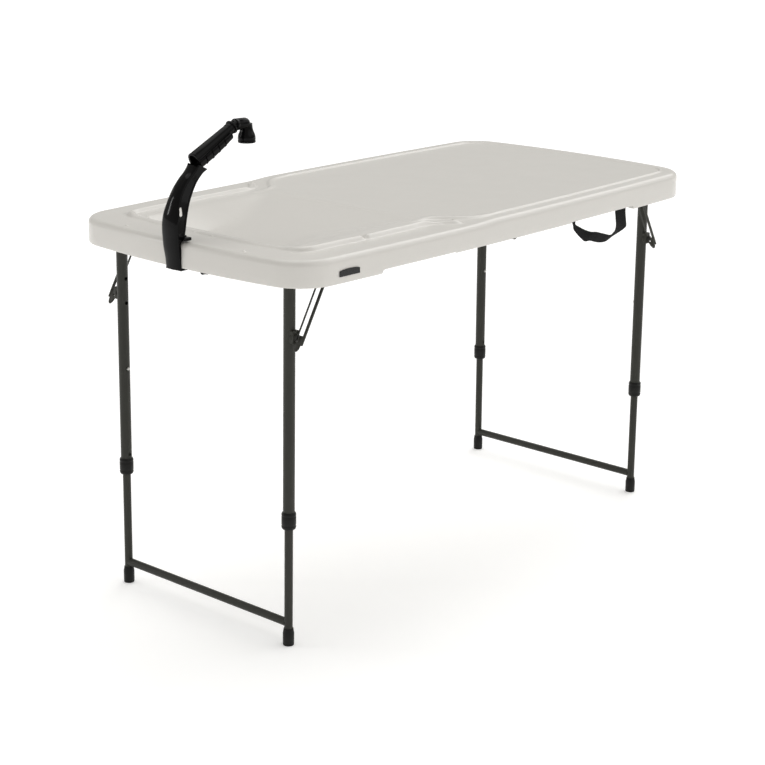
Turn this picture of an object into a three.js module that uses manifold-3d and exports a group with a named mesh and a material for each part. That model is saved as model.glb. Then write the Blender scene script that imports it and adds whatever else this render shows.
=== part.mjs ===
// Fold-in-half fish cleaning table with a sink basin, clip-on faucet and telescoping legs.
// Millimetres, +Z up, +X along the length (sink end at -X), -Y is the side with the carry strap.
// The origin is the middle of the footprint box, on the floor.

import * as THREE from 'three';
import { mergeVertices } from 'three/addons/utils/BufferGeometryUtils.js';
import { ConvexGeometry } from 'three/addons/geometries/ConvexGeometry.js';
import Module from 'manifold-3d';

const wasm = await Module();
wasm.setup();

// ---------------------------------------------------------------- driving dimensions
const LENGTH = 1283;            // tabletop length
const WIDTH = 643;              // tabletop width
const TOP_Z = 763;              // dry work surface
const SHELF_Z = 760;            // shelf round the sink
const SKIRT_Z = 710;            // lowest edge of the skirt
const ARCH_Z = 717;             // hand-hold arches in the long skirts
const MID_Z = 715;              // skirt edge beside the seam
const UNDER_Z = 735;            // underside of the panel
const SKIRT_T = 16;             // skirt wall
const BOW_X = 28, BOW_Y = 15.8; // how far the sides bow out
const CORNER_R = 84, SHOULDER_R = 12;
const SEAM_GAP = 0.4;
const RIDGE_Z = 768;            // crest of the wet zone's ridge
const BEAD_Z = 766;             // crest of the bead round the work area
const BASIN_Z = 720;            // floor of the basin at the drain
const SHIFT_X = 7;              // table middle to box middle (the faucet arm stands out at the sink end)

const LEG_Y = 226.8;            // leg planes
const HINGE_Z = 721;            // leg hinge height
const SINK_LEG_X = -571.2, WORK_LEG_X = 566.8;
const SPLAY = Math.atan(7 / HINGE_Z);
const UP_R = 11.15, UP_RI = 9.85;   // upper leg tube
const LO_R = 8.1, LO_RI = 6.9;      // lower leg tube
const ROD_R = 6;                    // hinge rod
const BUTTON_Z = 456;               // snap button height
const HOLES_Z = [590, 639, 277];    // the other button holes
const FOLD_Z = 712;                 // axis of the tabletop hinge
const FOLD_Y = 281;                 // hinge positions
const BRACE_PIVOT_Z = 608;          // lower brace pivot
const BRACE_TOP = [63, 718];        // upper end of the brace: X from the leg hinge, Z
const DRAIN_X = -524;
const STRAP_Y = -297.6;
const CLR = 0.3;

// ---------------------------------------------------------------- materials
const mat = (c, r, m) => new THREE.MeshStandardMaterial({ color: c, roughness: r, metalness: m });
const PLASTIC = mat(0xcecac4, 0.5, 0), STEEL = mat(0x3e3e39, 0.45, 0.4), BLACK = mat(0x262624, 0.55, 0),
  GLOSS = mat(0x1a1a1b, 0.25, 0), SILVER = mat(0xb5b5b2, 0.3, 1), WEB = mat(0x1e1e1e, 0.9, 0),
  RUBBER = mat(0x202020, 0.8, 0), BADGE = mat(0x1b1b1c, 0.4, 0);

// ---------------------------------------------------------------- helpers
function solid(geometry) {
  const g = geometry.clone();
  g.deleteAttribute('normal'); g.deleteAttribute('uv');
  const m = mergeVertices(g, 1e-4);
  const p = m.attributes.position.array;
  const idx = m.index.array;
  const keep = [];
  for (let i = 0; i < idx.length; i += 3) {
    if (idx[i] !== idx[i + 1] && idx[i + 1] !== idx[i + 2] && idx[i] !== idx[i + 2]) keep.push(idx[i], idx[i + 1], idx[i + 2]);
  }
  return new wasm.Manifold(new wasm.Mesh({ numProp: 3, vertProperties: new Float32Array(p), triVerts: new Uint32Array(keep) }));
}
function geometry(manifold) {
  const m = manifold.getMesh();
  const g = new THREE.BufferGeometry();
  const n = m.numProp, count = m.vertProperties.length / n;
  const pos = new Float32Array(count * 3);
  for (let i = 0; i < count; i++) for (let k = 0; k < 3; k++) pos[i * 3 + k] = m.vertProperties[i * n + k];
  g.setAttribute('position', new THREE.BufferAttribute(pos, 3));
  g.setIndex(new THREE.BufferAttribute(new Uint32Array(m.triVerts), 1));
  return g;
}
const join = (a, ...rest) => rest.reduce((s, b) => s.add(b), a);
const cut = (a, ...rest) => rest.reduce((s, b) => s.subtract(b), a);

function box(x0, x1, y0, y1, z0, z1) {
  const g = new THREE.BoxGeometry(x1 - x0, y1 - y0, z1 - z0);
  g.translate((x0 + x1) / 2, (y0 + y1) / 2, (z0 + z1) / 2);
  return solid(g);
}
// round bar from a to b, with its radius at each end
function bar(a, b, r0, r1 = r0, seg = 16) {
  const A = new THREE.Vector3(...a), B = new THREE.Vector3(...b), d = B.clone().sub(A);
  const g = new THREE.CylinderGeometry(r1, r0, d.length(), seg);
  g.applyQuaternion(new THREE.Quaternion().setFromUnitVectors(new THREE.Vector3(0, 1, 0), d.clone().normalize()));
  g.translate((A.x + B.x) / 2, (A.y + B.y) / 2, (A.z + B.z) / 2);
  return solid(g);
}
// turned piece: profile [[radius, height], ...] about the line from a in direction d
function turned(profile, a, d, seg = 20) {
  const g = new THREE.LatheGeometry(profile.map(([r, h]) => new THREE.Vector2(r, h)), seg);
  g.applyQuaternion(new THREE.Quaternion().setFromUnitVectors(new THREE.Vector3(0, 1, 0), new THREE.Vector3(...d).normalize()));
  g.translate(...a);
  const s = solid(g);
  if (s.volume() > 0) return s;
  const idx = Array.from(g.index.array);
  for (let i = 0; i < idx.length; i += 3) { const t = idx[i]; idx[i] = idx[i + 1]; idx[i + 1] = t; }
  g.setIndex(idx);
  return solid(g);
}
// plan shape [[x, y], ...] from z0 to z1, optionally with rounded edges that stay inside the outline
function plate(points, z0, z1, round = 0, steps = 3) {
  const s = new THREE.Shape(points.map(([x, y]) => new THREE.Vector2(x, y)));
  const g = new THREE.ExtrudeGeometry(s, round
    ? { depth: z1 - z0 - 2 * round, bevelEnabled: true, bevelThickness: round, bevelSize: round, bevelOffset: -round, bevelSegments: steps }
    : { depth: z1 - z0, bevelEnabled: false });
  g.translate(0, 0, z0 + round);
  return solid(g);
}
// side shape [[x, z], ...] from y0 to y1
function slab(points, y0, y1, round = 0, steps = 2) {
  const s = new THREE.Shape(points.map(([x, z]) => new THREE.Vector2(x, z)));
  const g = new THREE.ExtrudeGeometry(s, round
    ? { depth: y1 - y0 - 2 * round, bevelEnabled: true, bevelThickness: round, bevelSize: round, bevelOffset: -round, bevelSegments: steps }
    : { depth: y1 - y0, bevelEnabled: false });
  g.translate(0, 0, round);
  g.rotateX(Math.PI / 2);           // shape y becomes z, depth becomes -y
  g.translate(0, y1, 0);
  return solid(g);
}
const hull = pts => solid(new ConvexGeometry(pts.map(p => new THREE.Vector3(...p))));
// band of the given half width along an open line in plan
function band(line, hw) {
  const l = [], r = [];
  line.forEach((p, i) => {
    const a = line[Math.max(i - 1, 0)], b = line[Math.min(i + 1, line.length - 1)];
    const dx = b[0] - a[0], dy = b[1] - a[1], n = Math.hypot(dx, dy);
    l.push([p[0] - dy / n * hw, p[1] + dx / n * hw]);
    r.push([p[0] + dy / n * hw, p[1] - dx / n * hw]);
  });
  return r.concat(l.reverse());
}
// the tabletop's outline, moved in by `inset`
function outline(inset, corner) {
  const a = LENGTH / 2 - inset, b = WIDTH / 2 - inset;
  const yLong = x => b - BOW_Y * (x / (LENGTH / 2)) ** 2;
  const xShort = y => a - BOW_X * (y / (WIDTH / 2)) ** 2;
  let cx = a - BOW_X, cy = b - BOW_Y;
  for (let i = 0; i < 20; i++) { cy = yLong(cx); cx = xShort(cy); }
  const turn = 77.9 * Math.PI / 180, t = corner * Math.tan(turn / 2), k = 4 / 3 * Math.tan(turn / 4) * corner;
  const x1 = cx - t, y1 = yLong(x1), y2 = cy - t, x2 = xShort(y2);
  const sl = -2 * BOW_Y * x1 / (LENGTH / 2) ** 2, ss = -2 * BOW_X * y2 / (WIDTH / 2) ** 2;
  const n1 = Math.hypot(1, sl), n2 = Math.hypot(1, ss);
  const curve = new THREE.CubicBezierCurve(new THREE.Vector2(x1, y1), new THREE.Vector2(x1 + k / n1, y1 + k * sl / n1),
    new THREE.Vector2(x2 + k * ss / n2, y2 + k / n2), new THREE.Vector2(x2, y2));
  const q = [];
  for (let i = 0; i < 6; i++) { const x = x1 * i / 6; q.push([x, yLong(x)]); }
  for (const p of curve.getPoints(7)) q.push([p.x, p.y]);
  for (let i = 1; i < 4; i++) { const y = y2 * (1 - i / 4); q.push([xShort(y), y]); }
  q.push([a, 0]);
  const upper = q;                                           // x >= 0, y from b down to 0
  const right = upper.concat(upper.slice(0, -1).reverse().map(([x, y]) => [x, -y]));
  const left = right.slice(1, -1).reverse().map(([x, y]) => [-x, y]);
  return right.concat(left).reverse();                       // counter-clockwise
}
const mirrorY = line => line.map(([x, y]) => [x, -y]);

const table = new THREE.Group();
table.position.set(SHIFT_X, 0, 0);
function add(name, shape, material, parent = table) {
  const mesh = new THREE.Mesh(shape.isBufferGeometry ? shape : geometry(shape), material);
  mesh.name = name;
  parent.add(mesh);
  return mesh;
}

// ---------------------------------------------------------------- tabletop halves
const body = (top, inset = 0) => plate(outline(inset, CORNER_R), 680, top, SHOULDER_R, 3);
const below = box(-700, 700, -400, 400, 600, SKIRT_Z);
const recess = plate(outline(SKIRT_T, CORNER_R - SKIRT_T), 690, UNDER_Z);
const arch = (x0, x1, z) => {
  const r = 9;
  return slab([[x0 - r, 690], [x0 - r, SKIRT_Z - 1], [x0, SKIRT_Z], [x0 + 4, z - 1], [x0 + 10, z], [x1 - 10, z], [x1 - 4, z - 1], [x1, SKIRT_Z],
    [x1 + r, SKIRT_Z - 1], [x1 + r, 690]], -400, 400);
};
const skirtCuts = [arch(-418, -204, ARCH_Z), box(-206, 162, -400, 400, 690, MID_Z), arch(160, 399, ARCH_Z)];

const RIDGE = [[-146, -295], [-159, -286], [-178, -276], [-197, -267], [-211, -254], [-232, -246], [-259, -244], [-373, -243],
  [-450, -238], [-502, -237], [-527, -235], [-543, -226], [-551, -209], [-553, -178], [-558, -145], [-559, -60], [-559, 0]];
const SWOOP = [[-64, -285], [-91, -281], [-110, -271], [-125, -258], [-141, -246], [-155, -232], [-173, -222], [-203, -222], [-235, -229]];

// the basin: its floor falls gently to the drain at the sink end, between two long slopes that narrow away from the drain
const FLOOR = x => BASIN_Z + 0.1215 * (x + 540);
const BASIN_TOP = [[-548, 150], [-541, 190], [-515, 203], [-376, 202], [-306, 198], [-215, 194], [-186, 110], [-176, 0]];
const VALLEY = [[-543, 92], [-376, 94], [-225, 185]];     // where the slopes meet the floor
const both = pts => pts.concat(pts.filter(p => p[1] !== 0).map(([x, y]) => [x, -y]));
const pocket = (top, low) => hull([...both(top).map(([x, y]) => [x, y, TOP_Z + 1.2]), ...both(low).map(([x, y]) => [x, y, FLOOR(x)])]);
const basin = join(pocket(BASIN_TOP.slice(0, 4), VALLEY.slice(0, 2)), pocket(BASIN_TOP.slice(3), VALLEY.slice(1)),
  bar([DRAIN_X, 0, BASIN_Z], [DRAIN_X, 0, 740], 18.6, 18.6, 24));
const tub = hull([...both(BASIN_TOP).map(([x, y]) => [Math.max(x * 1.01 - 0.5, -553), y * 1.03, TOP_Z - 5]),
  ...both([[-552, 100], [-500, 98], [-498, 60]]).map(([x, y]) => [x, y, BASIN_Z - 6.5]), ...both([[-225, 190]]).map(([x, y]) => [x, y, FLOOR(x) - 6.5])])
  .intersect(box(-553, -100, -206, 206, 700, UNDER_Z + 4));
const drainHole = bar([DRAIN_X, 0, 700], [DRAIN_X, 0, 740], 13.3, 13.3, 24);

const deepShelf = cut(body(SHELF_Z), box(-150, 700, -400, 400, 600, 800));
const dryDeck = cut(body(TOP_Z), box(-700, -150, -400, 400, 600, 800), box(-SEAM_GAP / 2, 700, -400, 400, 600, 800));
const ridge = join(plate(band(RIDGE, 5), SHELF_Z - 6, RIDGE_Z, 2.4, 1), plate(band(mirrorY(RIDGE).reverse(), 5), SHELF_Z - 6, RIDGE_Z, 2.4, 1));
const swoop = join(plate(band(SWOOP, 3), TOP_Z - 5, BEAD_Z, 1.4, 1), plate(band(mirrorY(SWOOP).reverse(), 3), TOP_Z - 5, BEAD_Z, 1.4, 1));
let bead = cut(plate(outline(33.5, 50.5), TOP_Z - 5, BEAD_Z), plate(outline(39.5, 44.5), TOP_Z - 6, BEAD_Z + 1));
bead = bead.intersect(box(-64, 700, -400, 400, 700, 800));
const dots = [[-562, -141], [-568, -24], [-617, -158], [-617, 158]].map(([x, y]) => bar([x, y, SHELF_Z - 3], [x, y, SHELF_Z + 2.5], 4, 2.6, 10));

let sinkTop = join(deepShelf, dryDeck);
sinkTop = cut(sinkTop, recess, below, ...skirtCuts);
sinkTop = join(sinkTop, tub, ridge, swoop, bead.intersect(box(-100, -SEAM_GAP / 2, -400, 400, 700, 800)), ...dots);
sinkTop = cut(sinkTop, basin, drainHole);
add('sink_half_top', sinkTop, PLASTIC);

let workTop = cut(body(TOP_Z), box(-700, SEAM_GAP / 2, -400, 400, 600, 800), recess, below, ...skirtCuts);
workTop = join(workTop, bead.intersect(box(SEAM_GAP / 2, 700, -400, 400, 700, 800)));
add('work_half_top', workTop, PLASTIC);

// ---------------------------------------------------------------- tabletop hinges
// screw heads, part of the plate that they hold
const heads = (list, z) => list.map(([x, y]) => turned([[0, 0], [3.2, 0], [3.8, 2.4], [0, 2.4]], [x, y, z - 1.8], [0, 0, 1], 6));
for (const [side, s] of [['front', -1], ['back', 1]]) {
  const yc = s * FOLD_Y, R = 7;
  const flip = pts => pts.map(([x, z]) => [-x, z]).reverse();
  const leaf = [[-46, 731.6], [-10.5, 731.6], [-7, 728], [-7, FOLD_Z], [-1.2, FOLD_Z], [-1.2, 734.6], [-46, 734.6]];
  const knuckle = (y0, y1) => bar([0, y0, FOLD_Z], [0, y1, FOLD_Z], R, R, 12);
  const pinHole = bar([0, yc - 30, FOLD_Z], [0, yc + 30, FOLD_Z], 3.2, 3.2, 8);
  const strip = (pts, y0, y1) => slab(pts, y0, y1);
  const flatLeaf = [[-46, 731.6], [-9, 731.6], [-9, 734.6], [-46, 734.6]];
  // sink-side leaf: two outer knuckles; work-side leaf: one middle knuckle
  let a = join(strip(flatLeaf, yc - 19, yc + 19), strip(leaf, yc - 19, yc - 7.2), strip(leaf, yc + 7.2, yc + 19),
    knuckle(yc - 19, yc - 7.2), knuckle(yc + 7.2, yc + 19), slab([[-29, 702], [-21, 702], [-19, 706], [-19, 733], [-31, 733], [-31, 706]], yc - 4, yc + 4));
  a = join(cut(a, pinHole), ...heads([[-38, yc - 12], [-38, yc + 12], [-24, yc - 13], [-24, yc + 13]], 731.6));
  let b = join(strip(flip(flatLeaf), yc - 19, yc + 19), strip(flip(leaf), yc - 6.8, yc + 6.8), knuckle(yc - 6.8, yc + 6.8),
    slab([[9, 702], [15, 702], [17, 706], [17, 733], [8, 733], [8, 706]], yc - 4, yc + 4));
  b = join(cut(b, pinHole), ...heads([[38, yc - 12], [38, yc + 12], [24, yc - 13], [24, yc + 13]], 731.6));
  add(`fold_hinge_leaf_sink_${side}`, a, STEEL);
  add(`fold_hinge_leaf_work_${side}`, b, STEEL);
  add(`fold_hinge_pin_${side}`, join(bar([0, yc - 20, FOLD_Z], [0, yc + 20, FOLD_Z], 2.7, 2.7, 8),
    bar([0, yc + s * 19.3, FOLD_Z], [0, yc + s * 21, FOLD_Z], 4.6, 4.6, 10)), SILVER);
}

// ---------------------------------------------------------------- leg frames
function legFrame(tag, hx, dir) {
  // dir +1: the sink end, whose feet splay to -X; -1: the work end
  const rot = dir * SPLAY;
  const place = mesh => { mesh.position.set(hx, 0, HINGE_Z); mesh.rotation.y = rot; return mesh; };
  const L = z => z - HINGE_Z;        // height along the leg, from the hinge
  for (const [side, s] of [['front', -1], ['back', 1]]) {
    const y = s * LEG_Y;
    let up = cut(bar([0, y, L(240.4)], [0, y, 7.9], UP_R, UP_R, 16), bar([0, y, L(230)], [0, y, 20], UP_RI, UP_RI, 16));
    up = cut(up, bar([0, y - 20, 0], [0, y + 20, 0], ROD_R + CLR + 0.2, ROD_R + CLR + 0.2, 12));
    for (const z of [BUTTON_Z, ...HOLES_Z]) up = cut(up, bar([0, y, L(z)], [0, y - s * 20, L(z)], 3.8, 3.8, 8));
    const collar = turned([[LO_R + 0.35, L(235)], [12.4, L(235)], [14, L(239)], [14, L(264)], [12.6, L(268)], [UP_R + 0.35, L(268)], [UP_R + 0.35, L(240)], [LO_R + 0.35, L(240)], [LO_R + 0.35, L(235)]], [0, y, 0], [0, 0, 1], 16);
    place(add(`leg_collar_${tag}_${side}`, collar, BLACK));
    const lo = cut(bar([0, y, L(6)], [0, y, L(510)], LO_R, LO_R, 16), bar([0, y, L(0)], [0, y, L(520)], LO_RI, LO_RI, 16));
    place(add(`lower_leg_tube_${tag}_${side}`, lo, STEEL));
    const under = new THREE.BoxGeometry(60, 60, 20).translate(hx - dir * 7, y, -10).translate(-hx, 0, -HINGE_Z).rotateY(-rot);
    const cap = cut(turned([[0, L(-1)], [11, L(-1)], [11, L(26)], [9.6, L(31)], [9.6, L(34)], [LO_R + 0.35, L(34)], [LO_R + 0.35, L(5.6)], [0, L(5.6)]], [0, y, 0], [0, 0, 1], 16), solid(under));
    place(add(`foot_cap_${tag}_${side}`, cap, BLACK));
    // snap button: a domed stud in the hole on the leg's inner side, its foot between the two tubes
    const yo = y - s * (UP_R + 2.9), yi = y - s * (UP_RI - 0.2);
    const h = Math.abs(yo - yi);
    const stud = turned([[0, 0], [3.2, 0], [3.2, h - 1.4], [2.1, h - 0.35], [0, h]], [0, yi, L(BUTTON_Z)], [0, -s, 0], 10);
    place(add(`snap_button_${tag}_${side}`, stud, SILVER));
    // welded lug with the stud that the brace turns on
    const z = L(BRACE_PIVOT_Z);
    let lug = join(slab([[-8, z - 12], [8, z - 12], [8, z + 12], [-8, z + 12]], Math.min(y + s * 6, y + s * 17), Math.max(y + s * 6, y + s * 17)),
      bar([0, y + s * 14, z], [0, y + s * 22, z], 3.5, 3.5, 8), bar([0, y + s * 19.8, z], [0, y + s * 22.6, z], 6.2, 4.6, 10));
    up = join(up, cut(lug, bar([0, y, z - 30], [0, y, z + 30], UP_RI + 0.5, UP_RI + 0.5, 12)));
    place(add(`upper_leg_tube_${tag}_${side}`, up, STEEL));
  }
  // the rod that both legs turn on, and the crossbar between the lower tubes
  const rod = join(bar([0, -LEG_Y - 13.4, 0], [0, LEG_Y + 13.4, 0], ROD_R, ROD_R, 12),
    bar([0, -LEG_Y - 13.6, 0], [0, -LEG_Y - 11.6, 0], 8, 8, 12), bar([0, LEG_Y + 11.6, 0], [0, LEG_Y + 13.6, 0], 8, 8, 12));
  place(add(`leg_hinge_rod_${tag}`, rod, STEEL));
  const zc = L(44);
  const cross = cut(bar([0, -LEG_Y, zc], [0, LEG_Y, zc], 7.9, 7.9, 12), bar([0, LEG_Y, zc - 20], [0, LEG_Y, zc + 20], LO_R + 0.45, LO_R + 0.45, 16),
    bar([0, -LEG_Y, zc - 20], [0, -LEG_Y, zc + 20], LO_R + 0.45, LO_R + 0.45, 16));
  const parts = cross.decompose ? cross.decompose().sort((p, q) => q.volume() - p.volume()) : [cross];
  place(add(`crossbar_${tag}`, parts[0], STEEL));
}
legFrame('sink', SINK_LEG_X, 1);
legFrame('work', WORK_LEG_X, -1);

// brackets that carry the hinge rods, one inside each leg
for (const [tag, hx] of [['sink', SINK_LEG_X], ['work', WORK_LEG_X]]) {
  for (const [side, s] of [['front', -1], ['back', 1]]) {
    const y0 = s * 203, y1 = s * 189, a = Math.min(y0, y1), b = Math.max(y0, y1);
    const foot = slab([[hx - 12.5, 728], [hx + 12.5, 728], [hx + 12.5, 734.7], [hx - 12.5, 734.7]], a, b);
    const ear = join(bar([hx, a, HINGE_Z], [hx, b, HINGE_Z], 10.5, 10.5, 14), box(hx - 10.5, hx + 10.5, a, b, HINGE_Z, 730));
    add(`rod_bracket_${tag}_${side}`, cut(join(foot, ear), bar([hx, a - 5, HINGE_Z], [hx, b + 5, HINGE_Z], ROD_R + 0.5, ROD_R + 0.5, 12)), BLACK);
  }
}

// ---------------------------------------------------------------- braces and the rails above them
// flat plate in the plane of the brace: points [[t, |y|], ...], P gives X and Z at a length and a depth
function hullWeb(points, P, s) {
  const g = new THREE.ExtrudeGeometry(new THREE.Shape(points.map(([t, y]) => new THREE.Vector2(t, y))), { depth: 2.4, bevelEnabled: false });
  const v = g.attributes.position;
  for (let i = 0; i < v.count; i++) { const q = P(v.getX(i), v.getZ(i) - 2.6); v.setXYZ(i, q[0], s * v.getY(i), q[1]); }
  const m = solid(g);
  if (m.volume() > 0) return m;
  const idx = g.index ? Array.from(g.index.array) : Array.from({ length: v.count }, (_, i) => i);
  for (let i = 0; i < idx.length; i += 3) { const t = idx[i]; idx[i] = idx[i + 1]; idx[i + 1] = t; }
  g.setIndex(idx);
  return solid(g);
}
for (const [tag, hx, dir] of [['sink', SINK_LEG_X, 1], ['work', WORK_LEG_X, -1]]) {
  const px = hx - dir * Math.sin(SPLAY) * (HINGE_Z - BRACE_PIVOT_Z), pz = HINGE_Z - Math.cos(SPLAY) * (HINGE_Z - BRACE_PIVOT_Z);
  const tx = hx + dir * BRACE_TOP[0], tz = BRACE_TOP[1];
  const len = Math.hypot(tx - px, tz - pz), ux = (tx - px) / len, uz = (tz - pz) / len;   // along the brace, upwards
  const nx = -uz * dir, nz = ux * dir;                                                    // towards the leg's side
  const P = (t, n) => [px + ux * t + nx * n, pz + uz * t + nz * n];
  const loop = pts => { let a = 0; pts.forEach((p, i) => { const q = pts[(i + 1) % pts.length]; a += p[0] * q[1] - q[0] * p[1]; }); return a < 0 ? pts.reverse() : pts; };
  for (const [side, s] of [['front', -1], ['back', 1]]) {
    const Y = (a, b) => [Math.min(s * a, s * b), Math.max(s * a, s * b)];
    // a thin inner arm with an eye for the stud, a stouter outer arm, and a tongue that joins them below
    const eye = (t, r, y0, y1) => bar([P(t, -1.4)[0], s * y0, P(t, -1.4)[1]], [P(t, -1.4)[0], s * y1, P(t, -1.4)[1]], r, r, 16);
    const inner = join(slab(loop([P(-14, -3.1), P(-14, 0.3), P(len, 0.3), P(len, -3.1)]), ...Y(244.3, 246.3)),
      bar([px, s * 244.3, pz], [px, s * 246.3, pz], 7.2, 7.2, 16), eye(len, 5.6, 244.3, 246.3));
    const outer = join(slab(loop([P(-13, -3.1), P(-14, -1.4), P(-13, 0.3), P(-2, 0.6), P(len, 0.6), P(len, -3.6), P(-2, -3.6)]), ...Y(258.4, 263.4)), eye(len, 5.6, 258.4, 263.4));
    const tongue = [[5, 250.6], [5, 259], [-14, 259], [-20, 258.4], [-24.5, 256], [-26, 253.2], [-24.5, 250.4], [-20, 247.2], [-14.5, 244.9], [-9, 244.9], [-9, 250.6]];
    const web = hullWeb(tongue, P, s);
    let b = join(inner, outer, web, bar([P(len, -1.4)[0], s * 245, P(len, -1.4)[1]], [P(len, -1.4)[0], s * 262.6, P(len, -1.4)[1]], 3, 3, 12));
    b = cut(b, bar([px, s * 240, pz], [px, s * 247, pz], 3.85, 3.85, 14));
    add(`leg_brace_${tag}_${side}`, b, STEEL);
    // a flat strip with a hanging guide at each end of the brace's travel
    const X = (a, b) => dir > 0 ? [hx + a, hx + b] : [hx - b, hx - a];
    const railZ = 722.4;
    const guide = (a, b) => join(box(...X(a, b), ...Y(248, 256.6), railZ + 3.6, 731.5), box(...X(a, b), ...Y(250.2, 254.4), railZ, railZ + 5));
    const rail = join(guide(44, 80), guide(214, 266), box(...X(38, 272), ...Y(248.4, 261), 731.2, 734.7));
    add(`brace_rail_${tag}_${side}`, rail, STEEL);
  }
}

// ---------------------------------------------------------------- drain
const drain = turned([[0, 0], [12.9, 0], [12.9, 23.4], [15.6, 23.4], [16.4, 24.6], [13.8, 25.6], [0, 25]], [DRAIN_X, 0, BASIN_Z - 23.1], [0, 0, 1], 16);
let strainer = drain;
for (let i = 0; i < 6; i++) { const a = i * Math.PI / 3; strainer = cut(strainer, bar([DRAIN_X + 6.6 * Math.cos(a), 6.6 * Math.sin(a), BASIN_Z - 16], [DRAIN_X + 6.6 * Math.cos(a), 6.6 * Math.sin(a), BASIN_Z + 5], 2.1, 2.1, 6)); }
strainer = cut(strainer, bar([DRAIN_X, 0, BASIN_Z - 25], [DRAIN_X, 0, BASIN_Z - 2], 10.2, 10.2, 12));
add('drain_strainer', strainer, BLACK);
let nut = turned([[0, 0], [17, 0], [19, 2], [19, 9.6], [0, 9.6]], [DRAIN_X, 0, BASIN_Z - 16.6], [0, 0, 1], 8);
nut = cut(nut, bar([DRAIN_X, 0, 690], [DRAIN_X, 0, 720], 13.5, 13.5, 16));
add('drain_nut', nut, BLACK);
const ez = 688.5;
const barb = turned([[0, 0], [7, 0], [6.6, 20], [7.2, 20], [5.8, 27], [7.2, 27], [5.8, 34], [7.2, 34], [5.8, 41], [5.6, 48], [0, 48]], [DRAIN_X, 0, ez], [-1, 0, 0], 12);
let elbow = join(bar([DRAIN_X, 0, ez - 7], [DRAIN_X, 0, 696.4], 8.2, 9.8, 12), barb);
elbow = cut(elbow, bar([DRAIN_X, 0, ez], [DRAIN_X, 0, 700], 6, 6, 10), bar([DRAIN_X + 1, 0, ez], [-595, 0, ez], 4, 4, 10));
add('drain_elbow', elbow, BLACK);

// ---------------------------------------------------------------- faucet
const ccw = pts => { let a = 0; pts.forEach((p, i) => { const q = pts[(i + 1) % pts.length]; a += p[0] * q[1] - q[0] * p[1]; }); return a < 0 ? pts.slice().reverse() : pts; };
const AXP = [-588, 0, 902], AXD = new THREE.Vector3(94, 0, 47.8).normalize();
const at = t => [AXP[0] + AXD.x * t, 0, AXP[2] + AXD.z * t];
// closed shape through rows of points; every row has the same number of points
function loft(rows) {
  const n = rows[0].length, pos = [], idx = [];
  rows.forEach(r => r.forEach(p => pos.push(...p)));
  for (let i = 0; i + 1 < rows.length; i++) for (let j = 0; j < n; j++) {
    const a = i * n + j, b = i * n + (j + 1) % n, c = a + n, d = b + n;
    idx.push(a, b, d, a, d, c);
  }
  const e = (rows.length - 1) * n;
  for (let j = 1; j + 1 < n; j++) { idx.push(0, j + 1, j, e, e + j, e + j + 1); }
  const g = new THREE.BufferGeometry();
  g.setAttribute('position', new THREE.BufferAttribute(new Float32Array(pos), 3));
  const flip = () => { for (let i = 0; i < idx.length; i += 3) { const t = idx[i]; idx[i] = idx[i + 1]; idx[i + 1] = t; } };
  g.setIndex(idx);
  const m = solid(g);
  if (m.volume() > 0) return m;
  flip(); g.setIndex(idx);
  return solid(g);
}
// the arm: outer x, z, inner x, z and half width, from the hook under the skirt up to the spray tube
const ARM = [[-645.6, 706.6, -641.9, 706.6, 20], [-647.6, 725, -641.9, 725, 19.6], [-650.8, 745, -641.9, 745, 20.4], [-651.8, 757, -641.9, 757.2, 20.8],
  [-652.3, 765, -634.8, 764.6, 21], [-652.9, 780, -630.7, 779, 21.4], [-652.4, 795, -627.8, 793, 21], [-649.8, 810, -623.9, 806.5, 19.9],
  [-644.8, 825, -618.6, 819.5, 17.8], [-638.6, 840, -612, 833, 15.8], [-629, 855.5, -604.5, 846, 14.6], [-615.6, 870.5, -596.5, 858.5, 14],
  [-604, 880, -588.5, 868.5, 14], [-595.5, 888.5, -578, 878.5, 14.6], [-590, 896, -567, 884.5, 15.2]];
const armRow = ([xo, zo, xi, zi, w]) => {
  const L = Math.hypot(xi - xo, zi - zo), ex = (xi - xo) / L, ez = (zi - zo) / L;
  const q = [[L, w], [3, w], [-0.2, w - 2], [-1.6, w - 7], [-2.6, 0]];
  return q.concat(q.slice(0, -1).reverse().map(([a, y]) => [a, -y])).map(([a, y]) => [xo + ex * a, y, zo + ez * a]);
};
// the hollow inside the arm, open towards the table
const hollowRow = ([xo, zo, xi, zi, w]) => {
  const L = Math.hypot(xi - xo, zi - zo), ex = (xi - xo) / L, ez = (zi - zo) / L;
  return [[L + 4, w - 3], [3.4, w - 3], [2, w - 7], [2, -w + 7], [3.4, -w + 3], [L + 4, -w + 3]].map(([a, y]) => [xo + ex * a, y, zo + ez * a]);
};
// the trough under the spray tube: t along the tube, depth below its middle
const troughRow = ([t, h]) => [[15.4, 0.5], [15.4, h - 5], [12.5, h - 1.4], [7, h], [-7, h], [-12.5, h - 1.4], [-15.4, h - 5], [-15.4, 0.5]]
  .map(([y, d]) => [at(t)[0] + AXD.z * d, y, at(t)[2] - AXD.x * d]);
let arm = join(loft(ARM.map(armRow)), loft([[1, 17.6], [8, 18], [38, 18.4], [68, 16.9], [94, 14.1]].map(troughRow)));
arm = join(arm, slab(ccw([[-645, 707], [-643.8, 705.2], [-616, 705.2], [-613.5, 706.6], [-613.5, 709.4], [-643, 709.4]]), -20, 20),
  box(-641, -626, -31.5, -19, 762.6, 768.8), box(-641, -626, 19, 31.5, 762.6, 768.8), box(-645, -626, -20, 20, 763.4, 771));
arm = cut(arm, loft([[-652.9, 777, -630.7, 776, 21.2]].concat(ARM.slice(5, 12)).map(hollowRow).slice(0)));
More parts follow.
